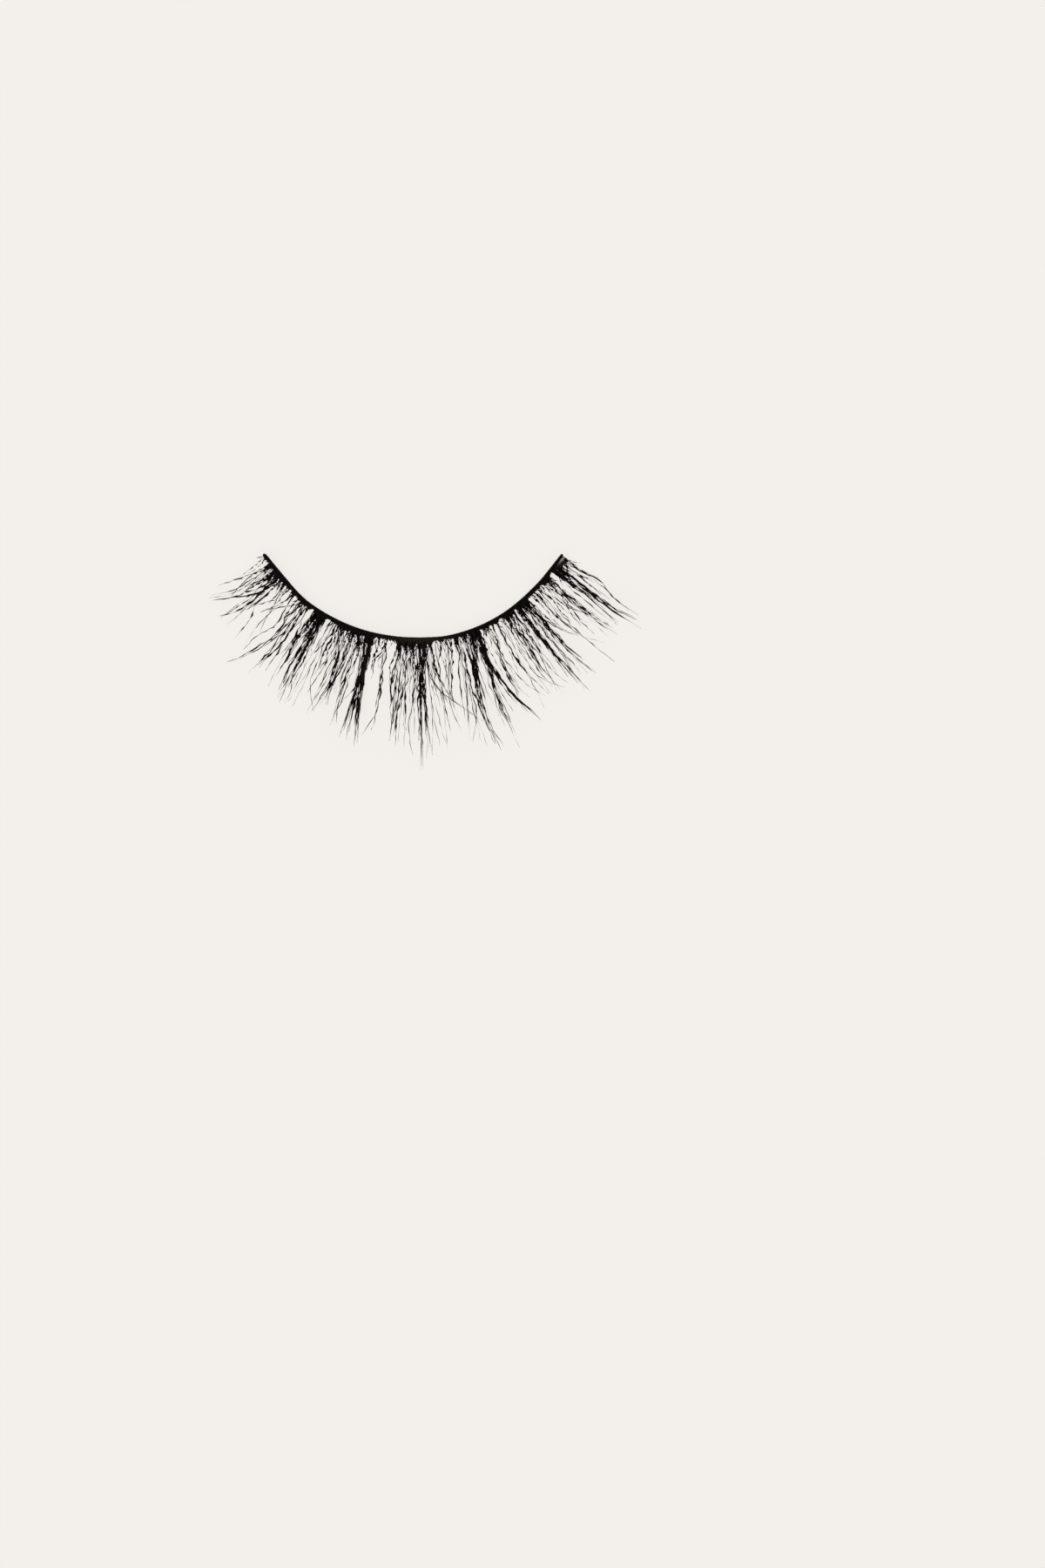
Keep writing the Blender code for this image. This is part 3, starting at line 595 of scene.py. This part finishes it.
def hair_paths(hairs, rng):
    """Centre lines of hairs, as s, d and z, and the thickness at each section. A hair follows its
    lock's curve and curl. It starts beside it by its share of the root's width, comes together with
    the others, fans out a little towards the tip, and wavers by two sine waves of its own. Small
    kinks, gentler on a short hair, set each section a little aside. A hyperbola keeps the curl's
    lowest stretch off the floor."""
    count = len(hairs.length)
    t = np.linspace(0.0, 1.0, HAIR_SECTIONS)[None, :] * np.ones((count, 1))
    reach = ROOT_DEPTH + (hairs.length[:, None] - ROOT_DEPTH) * t
    s = smooth_through(hairs.places, t)
    spread = 1.0 + reach / ARC_RADIUS
    settle = np.clip(reach / SETTLE_REACH, 0.0, 1.0)
    phase = rng.uniform(0.0, 2.0 * math.pi, (4, count, 1))
    slow = 2.0 * math.pi / rng.uniform(*SLOW_WAVE, (count, 1))
    quick = 2.0 * math.pi / rng.uniform(*QUICK_WAVE, (count, 1))
    sway = np.sin(slow * reach + phase[0]) + QUICK_SWAY * np.sin(quick * reach + phase[1])
    lift = np.sin(slow * reach + phase[2]) + QUICK_LIFT * np.sin(quick * reach + phase[3])
    wave = hairs.wave[:, None] * settle * (1.0 - WAVE_FADE * t)
    gather = TIP_SHARE + (1.0 - TIP_SHARE) * (1.0 - t ** TAPER_POWER)
    stride = np.minimum(hairs.length[:, None] / FULL_LENGTH, 1.0) ** KINK_POWER
    kink = rng.normal(0.0, KINK, t.shape) * stride * settle * (1.0 - KINK_FADE * t)
    aside = hairs.across[:, None] * gather + hairs.fan[:, None] * t ** FAN_POWER + wave * sway + kink
    s = s + aside / spread
    z = curl_height(reach, hairs.curl[:, None])
    z = z + hairs.up[:, None] * (ROOT_LIFT + t * TIP_LIFT) + wave * lift * WAVE_RISE
    belly = SLIM_ROOT + BELLY * np.sin(math.pi * t ** BELLY_POWER)
    thickness = hairs.thickness[:, None] * belly * (1.0 - TAPER * t ** TIP_POWER)
    thickness = thickness * (1.0 + GLUE_CLING * np.exp(-((reach - CLING_REACH) / CLING_SPREAD) ** 2))
    thickness = thickness * (THINNEST + (THICKEST - THINNEST) * rng.random(thickness.shape) ** RARER)
    lowest = LOWEST_HAIR + 0.5 * THICKEST * hairs.thickness[:, None]
    z = lowest + 0.5 * (z - lowest + np.sqrt((z - lowest) ** 2 + SOFT_LANDING ** 2))
    return s, reach, z, thickness


def lock_hairs(lock, number, rng):
    """The hairs of one lock: their roots fill its width, and their lengths differ so that the lock
    thins out to its tip. Each follows the lock's own curve, cut at its own length."""
    longer = LOCK_FEWEST + (1.0 - LOCK_FEWEST) * lock.length / FULL_LENGTH
    count = LOCK_FULLNESS * lock.width ** LOCK_FULLNESS_POWER * longer
    count = max(1, round(count * lock.fullness))
    share = LOCK_LENGTH - LOCK_LENGTH_SPREAD * rng.random(count) ** 2.0
    share[rng.integers(count)] = LOCK_LONGEST
    knots = np.linspace(0.0, 1.0, 5)[None, :] * share[:, None]
    row = np.array([lock[4:]]) * np.ones((count, 1))
    places = smooth_through(row, np.minimum(knots, 1.0))
    places = places + (knots - np.minimum(knots, 1.0)) * 4.0 * (row[:, 4:] - row[:, 3:4])
    curl = CURL_RADIUS + CURL_SPREAD * math.sin(CURL_STEP * number)
    curl = curl + rng.normal(0.0, LOCK_CURL_SPREAD, count)
    side = (np.arange(count) + 0.5 + rng.uniform(-0.5, 0.5, count)) / count * 2.0 - 1.0
    side = side * np.abs(side) ** LOCK_HEART
    return Hairs(
        places=places,
        length=lock.length * share,
        curl=curl,
        across=side * lock.width * LOCK_HALF_WIDTH,
        up=rng.uniform(-0.5, 0.5, count) * lock.width * LOCK_HEIGHT,
        fan=side * LOCK_FAN + rng.normal(0.0, LOCK_FAN_SPREAD, count),
        wave=np.abs(rng.normal(*LOCK_WAVE, count)),
        thickness=rng.uniform(*LOCK_THICKNESS, count) * THICK_HAIR,
    )


def stray_hairs(stray, rng):
    """The few hairs of one row of strays, close together."""
    count = stray.hairs
    return Hairs(
        places=np.array([stray[3:]]) * np.ones((count, 1)),
        length=stray.length * rng.uniform(0.92, 1.0, count),
        curl=CURL_RADIUS + rng.normal(0.0, STRAY_CURL_SPREAD, count),
        across=rng.normal(0.0, STRAY_ASIDE, count),
        up=rng.uniform(*STRAY_RISE, count),
        fan=rng.normal(0.0, STRAY_FAN, count),
        wave=np.abs(rng.normal(*STRAY_WAVE, count)),
        thickness=rng.uniform(*STRAY_THICKNESS, count) * STRAY_HAIR,
    )


def leaning(root, lean, bow):
    """The five places of hairs that lean from their roots and bow aside by half a sine wave."""
    share = np.linspace(0.0, 1.0, 5)[None, :]
    return root[:, None] + lean[:, None] * share + bow[:, None] * np.sin(math.pi * share)


def free_hairs(tuft, rng):
    """Fine single hairs anywhere along a tuft. Each leans by its own amount, and most are shorter
    than the reach that the table gives for their place."""
    count = round((tuft.end - tuft.start) * tuft.loose)
    root = tuft.start + (np.arange(count) + rng.random(count)) * (tuft.end - tuft.start) / max(count, 1)
    reach = np.interp(root, [row.s for row in REACHES], [row.length for row in REACHES])
    lean = rng.normal(0.0, FREE_LEAN, count)
    bow = rng.normal(0.0, FREE_BOW, count)
    return Hairs(
        places=leaning(root, lean, bow),
        length=reach * (FREE_SHORTEST + FREE_LENGTHS * rng.random(count) ** 0.75),
        curl=CURL_RADIUS + rng.normal(0.0, LOOSE_CURL_SPREAD, count),
        across=np.zeros(count),
        up=rng.uniform(*FREE_RISE, count),
        fan=np.zeros(count),
        wave=np.abs(rng.normal(*LOOSE_WAVE, count)),
        thickness=rng.uniform(*FREE_THICKNESS, count) * THIN_HAIR,
    )


def short_hairs(tuft, rng):
    """Short hairs that fill the foot of a tuft: they lean either way and end within its first
    millimetres."""
    count = round((tuft.end - tuft.start) * (tuft.film - SHORT_HAIRS_FROM) * SHORT_HAIRS)
    root = rng.uniform(tuft.start + 0.05, tuft.end - 0.05, count)
    lean = rng.normal(0.0, SHORT_LEAN, count)
    bow = rng.normal(0.0, SHORT_BOW, count)
    return Hairs(
        places=leaning(root, lean, bow),
        length=tuft.film + rng.uniform(*SHORT_LENGTHS, count),
        curl=CURL_RADIUS + rng.normal(0.0, LOOSE_CURL_SPREAD, count),
        across=np.zeros(count),
        up=rng.uniform(*SHORT_RISE, count),
        fan=np.zeros(count),
        wave=np.abs(rng.normal(*LOOSE_WAVE, count)),
        thickness=rng.uniform(*SHORT_THICKNESS, count) * THICK_HAIR * SHORT_HAIR_SHARE,
    )


def bell(spot, s, d):
    """A spot's strength at places on the strip: a soft bell that falls off both ways."""
    return spot.share * np.exp(-((s - spot.s) / spot.along) ** 2 - ((d - spot.d) / spot.outwards) ** 2)


def warmth(s, d):
    """How brown the hair is at places on the strip: the bell of each warm spot, and a faint warmth
    that comes in away from the root. The strongest one counts."""
    bells = [bell(spot, s, d) for spot in WARM_SPOTS]
    outer = OUTER_WARMTH * np.clip((d - WARMTH_FROM) / WARMTH_OVER, 0.0, 1.0)
    return np.maximum(np.max(bells, axis=0), outer)


def hair_piece(tuft, number, finish):
    """All the hairs of one tuft as thin tapered tubes, in place of the frame's solid tuft."""
    rng = np.random.default_rng((HAIR_SEED, number))
    groups = [lock_hairs(lock, i, rng) for i, lock in enumerate(LOCKS) if lock.tuft == tuft.name]
    groups += [stray_hairs(stray, rng) for stray in STRAYS if stray.tuft == tuft.name]
    groups += [free_hairs(tuft, rng), short_hairs(tuft, rng)]
    hairs = Hairs(*(np.concatenate(column) for column in zip(*groups)))
    hairs = hairs._replace(thickness=hairs.thickness * tuft.thickness)
    s, d, z, thickness = hair_paths(hairs, rng)
    points = tubes_along(place(s, d, z), thickness * 0.5 * MM, HAIR_SIDES)
    count = len(hairs.length)
    shade = rng.random((count, 1, 1)) * np.ones(points.shape[:3])
    warm = warmth(s, d)[:, :, None] * np.ones(points.shape[:3])
    faces = tube_faces(count, HAIR_SECTIONS, HAIR_SIDES)
    piece = new_piece("hair_of_" + tuft.name, points, faces, finish,
                      {"shade": shade, "warm": warm})
    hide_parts(tuft.name)


def rounded_section(turn, squareness):
    """A rounded rectangle of half size one, at turns round its middle: cosine and sine, each
    raised to the power of two over the squareness, with their signs kept."""
    power = 2.0 / squareness
    side = np.sign(np.cos(turn)) * np.abs(np.cos(turn)) ** power
    rise = np.sign(np.sin(turn)) * np.abs(np.sin(turn)) ** power
    return side, rise


def centre_sheen(s):
    """How strong the brown sheen painted on the band is: a soft bell round its middle."""
    return np.exp(-((s - SHEEN_MIDDLE) / SHEEN_SPREAD) ** 2)


def band_cord(finish):
    """The cord: a rounded rectangle carried along the band's line. Shallow ridges wind round it as
    a cosine of the turn and the length together. It rounds off as an ellipse towards both ends."""
    s = np.arange(BAND_LEFT, BAND_RIGHT, CORD_STEP)
    left_turn = np.linspace(0.05, math.pi / 2.0, LEFT_SECTIONS)
    right_turn = np.linspace(math.pi / 2.0, 0.05, RIGHT_SECTIONS)
    near_left = BAND_LEFT + LEFT_ROUNDING * (1.0 - np.cos(left_turn))
    near_right = BAND_RIGHT - RIGHT_ROUNDING * (1.0 - np.cos(right_turn))
    between = s[(s > near_left[-1] + 0.02) & (s < near_right[0] - 0.02)]
    s = np.concatenate((near_left, between, near_right))[:, None]
    turn = (2.0 * math.pi * np.arange(CORD_SIDES) / CORD_SIDES)[None, :]
    side, rise = rounded_section(-turn, CORD_SQUARENESS)
    left = np.clip((s - BAND_LEFT) / LEFT_ROUNDING, 0.0, 1.0)
    right = np.clip((BAND_RIGHT - s) / RIGHT_ROUNDING, 0.0, 1.0)
    size = np.sqrt(1.0 - (1.0 - left) ** 2) * (1.0 - (1.0 - right) ** 2) ** RIGHT_BLUNTNESS
    winding = np.cos(TWIST_STRANDS * turn - 2.0 * math.pi * s / TWIST_LENGTH)
    size = size * (1.0 - TWIST_DEPTH * (0.5 - 0.5 * winding) * (size > TWISTED_FROM))
    half_height = BAND_HEIGHT / 2.0
    d = across_band(s, 0.5 + 0.5 * side * size)
    tall = (END_HEIGHT + (1.0 - END_HEIGHT) * size) * np.minimum(size * 4.0, 1.0)
    z = half_height + half_height * rise * tall
    points = place(s, d, z)
    uvs = np.stack(np.broadcast_arrays(s, turn / (2.0 * math.pi)), axis=-1)
    faces = tube_faces(1, len(s), CORD_SIDES)
    # Each point holds how strong the painted brown sheen is there, a bell round the band's middle
    piece = new_piece("band_cord", points, faces, finish, {"brown_sheen_and_glue": centre_sheen(s + 0.0 * d)}, uvs)
    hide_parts("band")


def binding_stitches(finish):
    """Loops of thread round the cord, evenly spaced: each runs round the cord's own section, a
    little outside it, and slants along it by a sine of the turn."""
    rng = np.random.default_rng(STITCH_SEED)
    middle = np.arange(BAND_LEFT + STITCH_INSET_LEFT, BAND_RIGHT - STITCH_INSET_RIGHT, STITCH_SPACING)
    middle = (middle + rng.uniform(-STITCH_JITTER, STITCH_JITTER, len(middle)))[:, None]
    turn = (2.0 * math.pi * np.arange(STITCH_SECTIONS) / STITCH_SECTIONS)[None, :]
    side, rise = rounded_section(turn, CORD_SQUARENESS)
    slant = STITCH_SLANT * rng.uniform(*STITCH_SLANT_SHARES, middle.shape)
    s = middle + slant * np.sin(turn - 0.6) * 0.5
    d = across_band(s, 0.5 + 0.5 * side * 0.99)
    z = np.maximum(BAND_HEIGHT / 2.0 * (1.0 + rise * 0.995), STITCH_RADIUS * 1.1)
    paths = place(s, d, z)
    ahead = unit(np.roll(paths, -1, axis=1) - np.roll(paths, 1, axis=1))
    outwards = unit(paths - paths.mean(axis=1, keepdims=True))
    beside = unit(np.cross(ahead, outwards))
    upright = np.cross(beside, ahead)
    around = 2.0 * math.pi * np.arange(STITCH_SIDES) / STITCH_SIDES
    circle = np.cos(around)[:, None] * upright[:, :, None, :]
    circle = circle + np.sin(around)[:, None] * beside[:, :, None, :]
    points = paths[:, :, None, :] + circle * STITCH_RADIUS * MM
    tone = rng.random((len(middle), 1, 1)) * np.ones(points.shape[:3])
    # How strong the painted brown sheen is on each loop: a bell round the band's middle
    brown_sheen_and_glue = centre_sheen(middle[:, :, None] * np.ones(points.shape[:3]))
    faces = loop_faces(len(middle), STITCH_SECTIONS, STITCH_SIDES)
    new_piece("binding_stitches", points, faces, finish, {"shade": tone, "brown_sheen_and_glue": brown_sheen_and_glue})


def film_arches():
    """The arches of the film: one midway between each two neighbouring roots of locks whose gap is
    wide enough. The wider it is, the nearer to the band its crown lies."""
    roots = np.sort([lock.root for lock in LOCKS])
    gaps = np.diff(roots)
    middles = (roots[:-1] + roots[1:]) / 2.0
    crowns = np.maximum(ARCH_CROWN - ARCH_CROWN_FALL * gaps, ARCH_CROWN_LEAST)
    rows = zip(middles, gaps * ARCH_SPAN, crowns)
    return [Arch(*row) for row, gap in zip(rows, gaps) if gap >= ARCH_NARROWEST]


def film_edge(s):
    """How far out the glue film reaches: each tuft's own depth, cut into by the arches, whose
    edges are parabolas, with a fine waver."""
    edge = np.full(s.shape, FILM_BARE_EDGE)
    for tuft in TUFTS:
        shoulder = np.clip(np.minimum(s - tuft.start, tuft.end - s) / FILM_SHOULDER + 1.0, 0.0, 1.0)
        edge = np.maximum(edge, FILM_BARE_EDGE + (tuft.film - FILM_BARE_EDGE) * shoulder)
    edge = edge + COARSE_WAVER * np.sin(s * 19.0 + 1.3 * np.sin(s * 3.1))
    edge = edge + FINE_WAVER * np.sin(s * 47.0 + 2.0)
    for arch in film_arches():
        bowl = arch.depth + ARCH_RISE * ((s - arch.place) / (arch.width / 2.0)) ** 2
        edge = np.minimum(edge, bowl)
    return np.maximum(edge, FILM_NARROWEST)


def root_film(finish):
    """Glue that has run out between the roots: a lens-shaped section from inside the cord to the
    scalloped edge. Its middle follows the hair's dip, and it thins towards the edge. Fine grooves
    run outwards over it, as sines of the place along the band."""
    s = np.arange(BAND_LEFT + FILM_INSET_LEFT, BAND_RIGHT - FILM_INSET_RIGHT, FILM_STEP)[:, None]
    turn = (2.0 * math.pi * np.arange(FILM_SIDES) / FILM_SIDES)[None, :]
    edge = film_edge(s)
    share = 0.5 - 0.5 * np.cos(turn)
    d = FILM_START + (edge - FILM_START) * share
    half = FILM_AT_EDGE + (FILM_AT_CORD - FILM_AT_EDGE) * (1.0 - share) ** FILM_THINS
    grooves = 1.0 + COARSE_GROOVE * np.sin(s * 52.0 + 3.0 * d)
    grooves = grooves + FINE_GROOVE * np.sin(s * 23.0 - 2.0 * d + 1.0)
    z = curl_height(d, CURL_RADIUS) - half * np.sin(turn) * grooves
    points = place(s, d, z)
    uvs = np.stack(np.broadcast_arrays(s, d), axis=-1)
    faces = tube_faces(1, len(s), FILM_SIDES)
    # Brown on the film: the band's painted brown sheen at a share, and the real spot of brown glue,
    # whichever is stronger
    brown_sheen_and_glue = np.maximum(centre_sheen(s + 0.0 * d) * SHEEN_ON_FILM, bell(BROWN_GLUE, s, d))
    attributes = {"clear": bell(CLEAR_GLUE, s, d), "brown_sheen_and_glue": brown_sheen_and_glue}
    new_piece("root_film", points, faces, finish, attributes, uvs)


def start_finish(name):
    """A new node material: the material, its nodes, its links and its shader."""
    material = bpy.data.materials.new(name)
    material.use_nodes = True
    nodes = material.node_tree.nodes
    return material, nodes, material.node_tree.links, nodes["Principled BSDF"]


def colour_ramp(nodes, links, factor, stops):
    """A ramp from an output to colours: stops are pairs of a place and a colour."""
    ramp = nodes.new("ShaderNodeValToRGB")
    links.new(factor, ramp.inputs["Fac"])
    while len(ramp.color_ramp.elements) < len(stops):
        ramp.color_ramp.elements.new(0.5)
    for element, (where, colour) in zip(ramp.color_ramp.elements, stops):
        element.position = where
        element.color = (*colour, 1.0)
    return ramp.outputs["Color"]


def number_from(nodes, label):
    """The output of a number that the mesh holds for each point."""
    reader = nodes.new("ShaderNodeAttribute")
    reader.attribute_name = label
    return reader.outputs["Fac"]


def noise_on(nodes, links, vector, scale, detail):
    """Noise on a vector output."""
    noise = nodes.new("ShaderNodeTexNoise")
    noise.inputs["Scale"].default_value = scale
    noise.inputs["Detail"].default_value = detail
    links.new(vector, noise.inputs["Vector"])
    return noise.outputs["Fac"]


def spread_to(nodes, links, value, low, high):
    """A number from 0 to 1, spread to a range."""
    spread = nodes.new("ShaderNodeMapRange")
    spread.inputs["To Min"].default_value = low
    spread.inputs["To Max"].default_value = high
    links.new(value, spread.inputs["Value"])
    return spread.outputs["Result"]


def mix_colours(nodes, links, factor, first, second):
    """Two colour outputs mixed by a number."""
    mix = nodes.new("ShaderNodeMix")
    mix.data_type = "RGBA"
    links.new(factor, mix.inputs[0])
    links.new(first, mix.inputs[6])
    links.new(second, mix.inputs[7])
    return mix.outputs[2]


def dress(nodes, links, shader, colour, dullness, relief):
    """Ties a finish together. dullness is an output and the range of roughness that it is spread to,
    and relief is an output, its height in metres and its strength. The gloss is slack all over."""
    links.new(colour, shader.inputs["Base Color"])
    links.new(spread_to(nodes, links, *dullness), shader.inputs["Roughness"])
    shader.inputs["Specular IOR Level"].default_value = SLACK_GLOSS
    height, distance, strength = relief
    bump = nodes.new("ShaderNodeBump")
    bump.inputs["Distance"].default_value = distance
    bump.inputs["Strength"].default_value = strength
    links.new(height, bump.inputs["Height"])
    links.new(bump.outputs["Normal"], shader.inputs["Normal"])


def object_place(nodes):
    """The place in the object's own coordinates, in metres."""
    return nodes.new("ShaderNodeTexCoord").outputs["Object"]


def hair_black():
    """Dyed hair: near black, with some strands dark brown, warmer where a bundle is worn, and a
    low gloss that differs a little along each strand."""
    material, nodes, links, shader = start_finish("black_dyed_hair")
    strand = colour_ramp(nodes, links, number_from(nodes, "shade"), (
        (0.0, (0.0014, 0.0011, 0.0010)), (0.55, (0.0022, 0.0017, 0.0014)),
        (0.85, (0.0060, 0.0040, 0.0032)), (1.0, (0.0140, 0.0085, 0.0064))))
    streaks = noise_on(nodes, links, object_place(nodes), *HAIR_STREAKS)
    brown = colour_ramp(nodes, links, streaks, (
        (0.30, (0.0060, 0.0036, 0.0028)), (0.62, (0.0240, 0.0125, 0.0092))))
    colour = mix_colours(nodes, links, number_from(nodes, "warm"), strand, brown)
    dress(nodes, links, shader, colour, (streaks, 0.42, 0.62), (streaks, 0.000006, 0.5))
    return material


def cord_black():
    """Black cotton under glue: deep black, with brown fibre showing through in fine flecks, turned
    browner round the band's middle by a painted brown sheen, and slack gloss with fibre relief across
    the twist."""
    material, nodes, links, shader = start_finish("glued_black_cord")
    vector = object_place(nodes)
    fibre = noise_on(nodes, links, vector, *CORD_FIBRE)
    patches = noise_on(nodes, links, vector, *CORD_PATCHES)
    black = colour_ramp(nodes, links, fibre, (
        (0.0, (0.0005, 0.0004, 0.0004)), (0.60, (0.0014, 0.0010, 0.0009)),
        (0.80, (0.0090, 0.0060, 0.0046))))
    # Brown flecks of the painted sheen, mixed in most at the band's middle
    brown = colour_ramp(nodes, links, fibre, (
        (0.34, (0.0030, 0.0018, 0.0008)), (0.58, (0.0110, 0.0066, 0.0032)),
        (0.74, (0.0440, 0.0300, 0.0190))))
    colour = mix_colours(nodes, links, number_from(nodes, "brown_sheen_and_glue"), black, brown)
    dress(nodes, links, shader, colour, (patches, 0.34, 0.66), (fibre, 0.00002, 0.6))
    return material


def film_glue():
    """Dried glue over hair roots: black where it is thick, brown where brown glue lies and where the
    band's brown sheen is painted on, greyer where it has run thin and clear, with grooves."""
    material, nodes, links, shader = start_finish("dried_glue")
    patches = noise_on(nodes, links, object_place(nodes), *GLUE_PATCHES)
    black = colour_ramp(nodes, links, patches, (
        (0.30, (0.0012, 0.0010, 0.0009)), (0.66, (0.0032, 0.0025, 0.0020)),
        (0.86, (0.0120, 0.0082, 0.0064))))
    brown = colour_ramp(nodes, links, patches, (
        (0.30, (0.0060, 0.0034, 0.0022)), (0.62, (0.0230, 0.0135, 0.0085)),
        (0.80, (0.0620, 0.0420, 0.0300))))
    thin = colour_ramp(nodes, links, patches, (
        (0.30, (0.110, 0.104, 0.092)), (0.70, (0.360, 0.345, 0.318))))
    # Brown here is partly the real brown glue and partly the band's painted brown sheen
    brown_sheen_and_glue = mix_colours(nodes, links, number_from(nodes, "brown_sheen_and_glue"), black, brown)
    colour = mix_colours(nodes, links, number_from(nodes, "clear"), brown_sheen_and_glue, thin)
    dress(nodes, links, shader, colour, (patches, 0.30, 0.55), (patches, 0.00003, 0.6))
    return material


def thread_with_painted_sheen():
    """Sewing thread: black, with a brown sheen painted on in the middle of the band, with fibre
    streaks.
    """
    material, nodes, links, shader = start_finish("binding_thread")
    fibre = noise_on(nodes, links, object_place(nodes), *THREAD_FIBRE)
    black = colour_ramp(nodes, links, number_from(nodes, "shade"), (
        (0.0, (0.0007, 0.0006, 0.0005)), (1.0, (0.0042, 0.0030, 0.0024))))
    # The brown of the painted sheen, mixed in most at the band's middle
    brown = colour_ramp(nodes, links, fibre, (
        (0.25, (0.0160, 0.0096, 0.0048)), (0.75, (0.0640, 0.0440, 0.0290))))
    colour = mix_colours(nodes, links, number_from(nodes, "brown_sheen_and_glue"), black, brown)
    dress(nodes, links, shader, colour, (fibre, 0.50, 0.80), (fibre, 0.00001, 0.6))
    return material


hair_finish = hair_black()
band_cord(cord_black())
binding_stitches(thread_with_painted_sheen())
root_film(film_glue())
for tuft_number, tuft in enumerate(TUFTS):
    hair_piece(tuft, tuft_number, hair_finish)


def add_floor():
    """A plain pale floor, level with the strip's underside, lit mostly by a glow of its own that washes
    out the strip's shadows.
    """
    size = FLOOR_HALF_SIZE
    mesh = bpy.data.meshes.new("floor")
    corners = [(-size, -size, 0.0), (size, -size, 0.0), (size, size, 0.0), (-size, size, 0.0)]
    mesh.from_pydata(corners, [], [(0, 1, 2, 3)])
    floor = bpy.data.objects.new("floor", mesh)
    bpy.context.scene.collection.objects.link(floor)
    material, *_, shader = start_finish("pale_floor")
    shader.inputs["Base Color"].default_value = (*FLOOR_TONE, 1.0)
    shader.inputs["Roughness"].default_value = 1.0
    shader.inputs["Emission Color"].default_value = (*FLOOR_GLOW, 1.0)
    shader.inputs["Emission Strength"].default_value = 1.0
    shader.inputs["Specular IOR Level"].default_value = 0.0
    mesh.materials.append(material)


def add_light():
    """An even white dome, and a sun so wide that its shadows fade out. A sun's strength over pi,
    times the cosine of its tilt, is its share of the floor's light."""
    world = bpy.data.worlds.new("studio")
    bpy.context.scene.world = world
    world.use_nodes = True
    background = world.node_tree.nodes["Background"]
    background.inputs["Color"].default_value = (1.0, 1.0, 1.0, 1.0)
    background.inputs["Strength"].default_value = DOME_STRENGTH
    sun = bpy.data.lights.new("soft_sun", "SUN")
    sun.energy = SUN_SHARE * math.pi / math.cos(SUN_TILT[0])
    sun.angle = SUN_ANGLE
    lamp = bpy.data.objects.new("soft_sun", sun)
    lamp.rotation_euler = SUN_TILT
    bpy.context.scene.collection.objects.link(lamp)
    bpy.context.scene.view_settings.view_transform = "Standard"


def add_camera():
    """A long lens above the point that falls in the middle of the frame."""
    data = bpy.data.cameras.new("camera")
    data.lens = LENS
    data.sensor_width = SENSOR
    camera = bpy.data.objects.new("camera", data)
    bpy.context.scene.collection.objects.link(camera)
    right = (FRAME_PIXELS[0] / 2.0 - MIDDLE_PIXEL[0]) * PIXEL_SIZE * MM
    down = (FRAME_PIXELS[1] / 2.0 - MIDDLE_PIXEL[1]) * PIXEL_SIZE * MM
    height = FRAME_PIXELS[1] * PIXEL_SIZE * MM * LENS / SENSOR
    camera.location = (OFFSET[0] + right, OFFSET[1] - down, height)
    bpy.context.scene.camera = camera


add_floor()
add_light()
add_camera()
